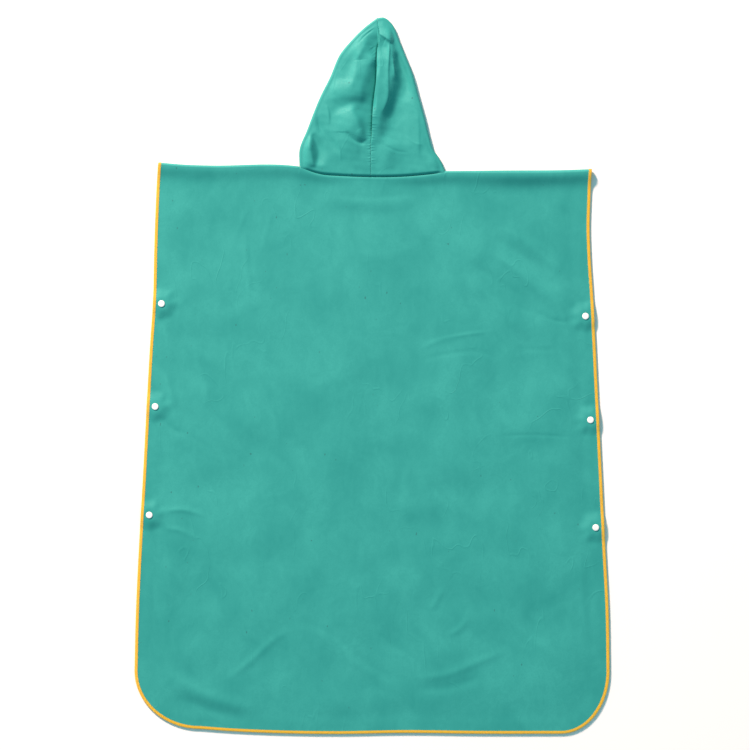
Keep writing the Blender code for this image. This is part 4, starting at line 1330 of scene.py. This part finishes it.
def hood_height(plan, side):
    """Upper side of the hood in plan points: its loft and folds, down to the roll and the neck."""
    outlines = np.vstack([hood_outline(s, even(OUTLINE_POINTS)) for s in (-1, 1)])
    inside = np.maximum(distance_to(outlines, plan) - ROLL, 0)
    above = distance_to(neck_line(), plan)
    neck_loft = through(SHOULDER_LOFT, plan[..., 0])
    free = 1 - bell(above / HOOD_NECK_FALL)
    lofted = 1 - bell(inside / HOOD_EDGE_FALL)
    dome = HOOD_DOME * (1 - bell(inside / HOOD_DOME_FALL))
    height = neck_loft + (2 * ROLL - neck_loft + HOOD_LOFT * lofted + dome) * free
    height += SEAM_ROLL_RISE * (1 - bell(above / SEAM_ROLL_WIDTH)) * bell(above / HOOD_NECK_FALL) * lofted
    off_edge = 1 - bell(inside / FOLDS_FROM_EDGE)
    off_neck = 1 - bell(above / FOLDS_FROM_NECK)
    seam, _ = seam_path(OUTLINE_POINTS)
    off_seam = soft_step(distance_to(seam, plan) / HALF_FOLD_START[side])
    height += off_edge * off_neck * (relief(plan, HOOD_FOLDS) + unevenness(plan, HOOD_WAVES))
    height += off_edge * off_neck * (off_seam * relief(plan, HALF_FOLDS[side]) + relief(plan, SEAM_FOLDS))
    return height + seam_relief(plan, side) * soft_step(inside / VALLEY_FROM_EDGE)


def overhang(plan):
    """How far the edge of the pleat hangs over the centre seam, in a grid of plan points."""
    seam, _ = seam_path(OUTLINE_POINTS)
    away = distance_to(seam, plan)
    edge = bell((away - OVERHANG_AT) / OVERHANG_WIDTH) * soft_step(away / OVERHANG_START)
    return OVERHANG * under_pleat(plan[..., 1]) * edge


def hood_neck(side):
    """The hood's row on the neck edge: points, normals and directions across the seam."""
    neck = neck_edge(side, HOOD_NECK_STEPS, HOOD_TURN_STEPS, HOOD_FRONT_STEPS, HOOD_CROWDING)
    across = unit(neck.across)
    return neck.points, level(neck.normals, across), across


def hood_upper(side, seam, turn_line, back):
    """Upper layer of a half: from the centre seam to where it turns, up from the neck."""
    crown = resample(np.vstack([seam[-1], turn_line[-1]]), even(len(back) - 1))
    plan = patch(seam, turn_line, back[:, :2], crown)
    height = hood_height(plan, side)
    above = reach(seam)[:, None]
    from_end = len(back) - np.arange(len(back))
    height -= VALLEY_DEPTH * bell(above / VALLEY_WIDTH) * soft_step(from_end / VALLEY_END_COLUMNS)
    height[:, -1] = 2 * ROLL
    if side > 0:
        plan[..., 0] -= overhang(plan)
    return np.dstack([plan, height])


def hood_roll(turn_line, outward, angles):
    """Roll down the side of a half, between its two layers."""
    columns = []
    for angle in angles:
        plan = turn_line + ROLL * np.sin(angle) * outward
        height = np.full(len(plan), ROLL * (1 + np.cos(angle)))
        columns.append(np.column_stack([plan, height]))
    return np.stack(columns, axis=1)


def hood_lower(side, seam, turn_line, front):
    """Lower layer of a half, on the surface: from the roll in to the edge of the opening for
    the face, and above that opening to the centre seam."""
    face = smooth_path(FACE_EDGE[side] + (Point(*seam[FACE_TOP_ROW]),), even(FACE_TOP_ROW))
    inner = np.vstack([face, seam[FACE_TOP_ROW + 1 :]])
    crown = resample(np.vstack([turn_line[-1], seam[-1]]), even(len(front) - 1))
    plan = patch(turn_line, inner, front[:, :2], crown)
    return np.dstack([plan, np.zeros(plan.shape[:2])])


def hood_half(name, side, material):
    """One half of the hood: from the centre seam over the side and under to the face opening."""
    seam, crown_heading = seam_path()
    turn_line, outward = fold_line(side, crown_heading)
    points, neck_normals, across = hood_neck(side)
    columns = HOOD_NECK_STEPS + 1
    angles = np.pi * even(HOOD_TURN_STEPS)[1:-1]
    upper = hood_upper(side, seam, turn_line, points[:columns])
    roll = hood_roll(turn_line, outward, angles)
    lower = hood_lower(side, seam, turn_line, points[-HOOD_FRONT_STEPS - 1 :])
    grid = np.concatenate([upper, roll, lower], axis=1)
    grid[0, columns:] = points[columns:]
    normals = grid_normals(grid, 1)
    turned = np.concatenate([np.zeros(columns), angles, np.full(HOOD_FRONT_STEPS + 1, np.pi)])
    crown_out = np.append(crown_heading, 0)
    normals[-1] = np.sin(turned)[:, None] * crown_out + np.cos(turned)[:, None] * (0, 0, 1)
    normals[0] = neck_normals
    grid[0] += across * SEAM_GAP / 2
    sew_centre(grid, normals, seam, side)
    return cloth(name, grid, normals, material)


def sew_centre(grid, normals, seam, side):
    """Moves the half off the centre seam by half the gap: up the back, over the crown, and
    down under it to the top of the face opening."""
    heading = unit(np.gradient(seam, axis=0))
    across = side * np.column_stack([heading[:, 1], -heading[:, 0], np.zeros(len(seam))])
    for column, rows in ((0, slice(None)), (-1, slice(FACE_TOP_ROW, None)), (-1, slice(0, 1))):
        grid[rows, column] += across[rows] * SEAM_GAP / 2
        normals[rows, column] = level(normals[rows, column], across[rows])
    grid[-1, 1:-1] += across[-1] * SEAM_GAP / 2
    normals[-1] = level(normals[-1], across[-1])


def seam_stitches(name, material):
    """Short threads drawn across the hood's centre seam."""
    seam, _ = seam_path(OUTLINE_POINTS)
    heading = unit(np.gradient(seam, axis=0))
    run = reach(seam)
    places = np.arange(SEAM_STITCHES_FROM, run[-1] - SEAM_STITCHES_END, SEAM_STITCH_PITCH)
    centre = np.column_stack([np.interp(places, run, column) for column in seam.T])
    way = unit(np.column_stack([np.interp(places, run, column) for column in heading.T]))
    across = np.column_stack([way[:, 1], -way[:, 0]])
    lines = []
    for share in np.linspace(-1, 1, SEAM_STITCH_POINTS):
        plan = centre + share * SEAM_STITCH_REACH * across + SEAM_STITCH_SLANT * share * way
        height = hood_height(plan[None], 1)[0] + SEAM_STITCH_RADIUS * (1 - 2 * share**2)
        lines.append(np.column_stack([plan, height]))
    points, faces = tubes(np.stack(lines, axis=1), SEAM_STITCH_RADIUS, SEAM_STITCH_SIDES)
    return piece(name, points, faces, material, sharp=SHARP_THREAD)


# Snaps --------------------------------------------------------------------------------------


def turned_piece(name, profile, radius, height, at, material, upside_down=False):
    """Round piece from its profile, standing at a place on the garment."""
    angles = np.linspace(0, 2 * np.pi, ROUND_SIDES, endpoint=False)
    ring = np.column_stack([np.cos(angles), np.sin(angles)])
    levels = [np.zeros((1, 3))]
    for step in profile[1:-1]:
        rise = np.full(ROUND_SIDES, step.height * height)
        levels.append(np.column_stack([ring * step.radius * radius, rise]))
    levels.append(np.array([[0, 0, profile[-1].height * height]]))
    points = np.vstack(levels)
    if upside_down:
        points = points * (1, -1, -1)
    rings = len(profile) - 2
    index = 1 + np.arange(rings * ROUND_SIDES).reshape(rings, ROUND_SIDES)
    around = np.column_stack([index, index[:, 0]])
    top = len(points) - 1
    faces = quads(around)
    faces += [[0, int(b), int(a)] for a, b in zip(around[0], around[0, 1:])]
    faces += [[top, int(a), int(b)] for a, b in zip(around[-1], around[-1, 1:])]
    return piece(name, points + at, faces, material, sharp=SHARP_PLASTIC)


def snaps(material):
    """Each fastened snap: a cap on either side and the socket and stud between the layers."""
    for snap, (across, up) in zip(SNAPS, snap_places()):
        name = f"snap_{snap.side}_{snap.number}"
        kinds = (
            ("back_cap", CAP_PROFILE, CAP_RADIUS, CAP_HEIGHT, BACK_CAP_BASE, False),
            ("socket", SOCKET_PROFILE, SOCKET_RADIUS, SOCKET_HEIGHT, SOCKET_BASE, False),
            ("front_cap", CAP_PROFILE, CAP_RADIUS, CAP_HEIGHT, CAP_HEIGHT, True),
        )
        for kind, profile, radius, height, base, upside_down in kinds:
            at = (across, up, base)
            node = f"{name}_{kind}"
            made = turned_piece(node + "_turned", profile, radius, height, at, material, upside_down)
            dress(made, "snap", node)


# Materials ----------------------------------------------------------------------------------

# Lighter and deeper colours of each material.
Tones = namedtuple("Tones", "light deep")
SUEDE = Tones((0.036, 0.362, 0.320, 1), (0.018, 0.285, 0.256, 1))
SUEDE_SHEEN = (0.75, 0.95, 0.92, 1)
LINT = (0.02, 0.12, 0.12, 1)
ORANGE = Tones((0.90, 0.56, 0.035, 1), (0.80, 0.44, 0.02, 1))
TEAL = Tones((0.08, 0.50, 0.46, 1), (0.04, 0.36, 0.33, 1))
WHITE = Tones((0.92, 0.92, 0.90, 1), (0.86, 0.87, 0.86, 1))
PALE = Tones((0.97, 0.95, 0.94, 1), (0.95, 0.93, 0.92, 1))

# Noises: about how large their features are in millimetres, and how they are drawn.
Grain = namedtuple("Grain", "size detail roughness distortion stretch", defaults=(0.5, 0.0, (1, 1, 1)))
SUEDE_PATCHES = Grain(90, 3.0, 0.55, 0.6)
SUEDE_STREAKS = Grain(16, 4.0, 0.6, 0.8, (1, 0.35, 1))
SUEDE_BRUSHED = Grain(21, 5.0, 0.62, 1.4, (1, 0.7, 1))
SUEDE_NAP = Grain(3.2, 3.0, 0.6)
SUEDE_FIBRES = Grain(0.55, 2.0, 0.7, 0.0, (1, 0.6, 1))
SUEDE_PRESSED = Grain(64, 1.5, 0.5, 0.6, (1, 0.6, 1))
SUEDE_PRESSED_WHERE = Grain(120, 2.0)
SUEDE_LINT = Grain(5.0, 0.0, 0.5, 0.0, (1, 0.5, 1))
THREAD_TWIST = Grain(1.1, 2.0, 0.6)
THREAD_WEAR = Grain(24, 3.0)
PLASTIC_HAZE = Grain(6, 3.0)
FLOOR_SHADE = Grain(900, 2.0)

# Half the width of the thin lines pressed into the suede, in the values of their noise.
PRESSED_WIDTH = 0.012


class Nodes:
    """Node tree of a new material, with short ways to add and join its nodes."""

    def __init__(self, name):
        self.material = bpy.data.materials.new(name)
        self.material.use_nodes = True
        self.tree = self.material.node_tree
        self.shader = self.tree.nodes["Principled BSDF"]

    def add(self, kind, inputs=(), **settings):
        node = self.tree.nodes.new(kind)
        for key, value in settings.items():
            setattr(node, key, value)
        for key, value in dict(inputs).items():
            self.feed(node, key, value)
        return node

    def feed(self, node, key, value):
        """Joins an output to an input, or sets the input's own value."""
        if isinstance(value, bpy.types.NodeSocket):
            self.tree.links.new(value, node.inputs[key])
        else:
            node.inputs[key].default_value = value

    def noise(self, grain):
        """Noise over the object's own coordinates."""
        place = self.add("ShaderNodeTexCoord").outputs["Object"]
        mapping = self.add("ShaderNodeMapping", {"Vector": place, "Scale": grain.stretch})
        inputs = {
            "Vector": mapping.outputs["Vector"],
            "Scale": 1 / (grain.size * MM),
            "Detail": grain.detail,
            "Roughness": grain.roughness,
            "Distortion": grain.distortion,
        }
        return self.add("ShaderNodeTexNoise", inputs).outputs["Fac"]

    def times(self, first, second):
        """Product of two values."""
        return self.add("ShaderNodeMath", {0: first, 1: second}, operation="MULTIPLY").outputs[0]

    def lines(self, value, width):
        """Thin lines where a noise passes its middle value."""
        away = self.add("ShaderNodeMath", {0: value, 1: 0.5}, operation="SUBTRACT").outputs[0]
        size = self.add("ShaderNodeMath", {0: away}, operation="ABSOLUTE").outputs[0]
        return self.ramp(size, 0.0, width, 1.0, 0.0)

    def ramp(self, value, low, high, to_low=0.0, to_high=1.0):
        """Value mapped from one range to another and kept inside it."""
        inputs = {"Value": value, 1: low, 2: high, 3: to_low, 4: to_high}
        return self.add("ShaderNodeMapRange", inputs).outputs["Result"]

    def blend(self, share, first, second):
        """Colour between two others."""
        node = self.add("ShaderNodeMix", data_type="RGBA")
        self.feed(node, 0, share)
        self.feed(node, 6, first)
        self.feed(node, 7, second)
        return node.outputs[2]

    def bump(self, height, distance, strength, under=None):
        """Normal bent by a height of the given distance in millimetres, over another normal."""
        inputs = {"Height": height, "Distance": distance * MM, "Strength": strength}
        if under is not None:
            inputs["Normal"] = under
        return self.add("ShaderNodeBump", inputs).outputs["Normal"]

    def finish(self, **inputs):
        """Sets the shader's inputs, named here with underscores for spaces."""
        names = {name.lower().replace(" ", "_"): name for name in self.shader.inputs.keys()}
        for key, value in inputs.items():
            self.feed(self.shader, names[key], value)
        return self.material


def suede():
    """Teal micro-suede: short nap with soft brushed patches, faint streaks and fine fibres."""
    nodes = Nodes("teal_micro_suede")
    streaks = nodes.noise(SUEDE_STREAKS)
    nap = nodes.noise(SUEDE_NAP)
    pressed = nodes.lines(nodes.noise(SUEDE_PRESSED), PRESSED_WIDTH)
    pressed = nodes.times(pressed, nodes.ramp(nodes.noise(SUEDE_PRESSED_WHERE), 0.5, 0.64))
    lint = nodes.ramp(nodes.noise(SUEDE_LINT), 0.865, 0.88, 0.0, 0.6)
    colour = nodes.blend(nodes.ramp(nodes.noise(SUEDE_PATCHES), 0.3, 0.7), SUEDE.deep, SUEDE.light)
    colour = nodes.blend(nodes.ramp(streaks, 0.35, 0.75, 0.0, 0.35), colour, SUEDE.light)
    colour = nodes.blend(nodes.ramp(nodes.noise(SUEDE_BRUSHED), 0.47, 0.56, 0.0, 0.22), colour, SUEDE.deep)
    colour = nodes.blend(nodes.ramp(nap, 0.4, 0.8, 0.0, 0.4), colour, SUEDE.deep)
    colour = nodes.blend(lint, colour, LINT)
    soft = nodes.bump(streaks, 0.5, 0.25)
    soft = nodes.bump(pressed, 0.45, 0.5, soft)
    soft = nodes.bump(nap, 0.18, 0.35, soft)
    soft = nodes.bump(nodes.noise(SUEDE_FIBRES), 0.08, 0.4, soft)
    return nodes.finish(
        base_color=colour,
        roughness=nodes.ramp(nap, 0.3, 0.7, 0.58, 0.72),
        specular_ior_level=0.3,
        sheen_weight=0.05,
        sheen_roughness=0.5,
        sheen_tint=SUEDE_SHEEN,
        normal=soft,
    )


def thread(name, tones):
    """Twisted polyester thread."""
    nodes = Nodes(name)
    twist = nodes.noise(THREAD_TWIST)
    colour = nodes.blend(nodes.ramp(twist, 0.35, 0.7), tones.light, tones.deep)
    colour = nodes.blend(nodes.ramp(nodes.noise(THREAD_WEAR), 0.45, 0.8, 0.0, 0.3), colour, tones.deep)
    return nodes.finish(
        base_color=colour,
        roughness=0.62,
        sheen_weight=0.2,
        normal=nodes.bump(twist, 0.12, 0.5),
    )


def plastic():
    """White moulded plastic of the snaps."""
    nodes = Nodes("white_snap_plastic")
    haze = nodes.noise(PLASTIC_HAZE)
    colour = nodes.blend(nodes.ramp(haze, 0.4, 0.7), WHITE.light, WHITE.deep)
    return nodes.finish(
        base_color=colour,
        roughness=nodes.ramp(haze, 0.3, 0.7, 0.24, 0.34),
        coat_weight=0.2,
        normal=nodes.bump(haze, 0.03, 0.2),
    )


def floor_paint():
    """Plain pale paint of the floor."""
    nodes = Nodes("pale_floor")
    colour = nodes.blend(nodes.noise(FLOOR_SHADE), PALE.deep, PALE.light)
    return nodes.finish(base_color=colour, roughness=0.9)


# Stage --------------------------------------------------------------------------------------

# The photo's frame in metres: its width, at a small height above the surface, its middle, and
# how high the camera stands. The camera looks straight down.
FRAME_WIDTH = 1.39125
FRAME_MIDDLE = (0.0056, 0.0019)
CAMERA_HEIGHT = 7.0
CAMERA_AIM_HEIGHT = 0.006
SENSOR = 36.0

# Floor and lights, in metres: the floor just below the surface, the soft light from the upper
# left, and the even light from all round, whose greenish blue gives the cool shade of the folds.
FLOOR_HALF = 4.0
FLOOR_DROP = 0.0004
Softbox = namedtuple("Softbox", "name at aim size power colour")
KEY = Softbox("key", (-4.2, 6.7, 4.3), (0, 0, 0), 1.5, 1375, (1.38, 0.97, 0.84))
FILL_COLOUR = (0.48, 0.97, 1.09, 1)
FILL_STRENGTH = 0.46


def camera():
    """Camera above the middle of the photo's frame."""
    data = bpy.data.cameras.new("camera")
    data.sensor_width = SENSOR
    data.lens = SENSOR * (CAMERA_HEIGHT - CAMERA_AIM_HEIGHT) / FRAME_WIDTH
    made = bpy.data.objects.new("camera", data)
    made.location = (*FRAME_MIDDLE, CAMERA_HEIGHT)
    bpy.context.scene.collection.objects.link(made)
    bpy.context.scene.camera = made


def softbox(box):
    """Square area light at a place, turned to what it lights."""
    data = bpy.data.lights.new(box.name, "AREA")
    data.size = box.size
    data.energy = box.power
    data.color = box.colour
    made = bpy.data.objects.new(box.name, data)
    made.location = box.at
    made.rotation_euler = (Vector(box.aim) - Vector(box.at)).to_track_quat("-Z", "Y").to_euler()
    bpy.context.scene.collection.objects.link(made)


def lay_floor():
    """Square floor round the garment."""
    size = FLOOR_HALF
    corners = [(-size, -size, 0), (size, -size, 0), (size, size, 0), (-size, size, 0)]
    mesh = bpy.data.meshes.new("floor")
    mesh.from_pydata(corners, [], [[0, 1, 2, 3]])
    mesh.materials.append(floor_paint())
    floor = bpy.data.objects.new("floor", mesh)
    floor.location.z = -FLOOR_DROP
    bpy.context.scene.collection.objects.link(floor)


def stage():
    """Floor, key light and fill."""
    lay_floor()
    softbox(KEY)
    world = bpy.data.worlds.new("fill")
    world.use_nodes = True
    background = world.node_tree.nodes["Background"]
    background.inputs["Color"].default_value = FILL_COLOUR
    background.inputs["Strength"].default_value = FILL_STRENGTH
    bpy.context.scene.world = world
    bpy.context.scene.view_settings.view_transform = "Standard"


# Assembly -----------------------------------------------------------------------------------


def dress(made, slot, *nodes):
    """Sets a piece on the frame in place of the solids that it stands for."""
    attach(made, "root")
    if nodes:
        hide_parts(*nodes)
    return made


def main():
    """The whole poncho, set on the frame."""
    teal = suede()
    orange = thread("orange_overlock_thread", ORANGE)
    teal_thread = thread("teal_sewing_thread", TEAL)
    for word, face, steps, height in (
        ("back", 1, BACK_STEPS, back_height),
        ("front", -1, FRONT_STEPS, front_height),
    ):
        grid, normals = panel_grid(face, steps, height)
        dress(cloth(word + "_cloth", grid, normals, teal), "suede", word + "_panel")
        edge = edging(word + "_overlock", grid, normals, face, steps, orange)
        dress(edge, "thread", word + "_edging")
    for word, side in (("left", -1), ("right", 1)):
        half = hood_half(f"hood_{word}_cloth", side, teal)
        dress(half, "suede", f"hood_{word}")
    dress(seam_stitches("hood_seam_stitches", teal_thread), "suede")
    snaps(plastic())


main()
stage()
camera()
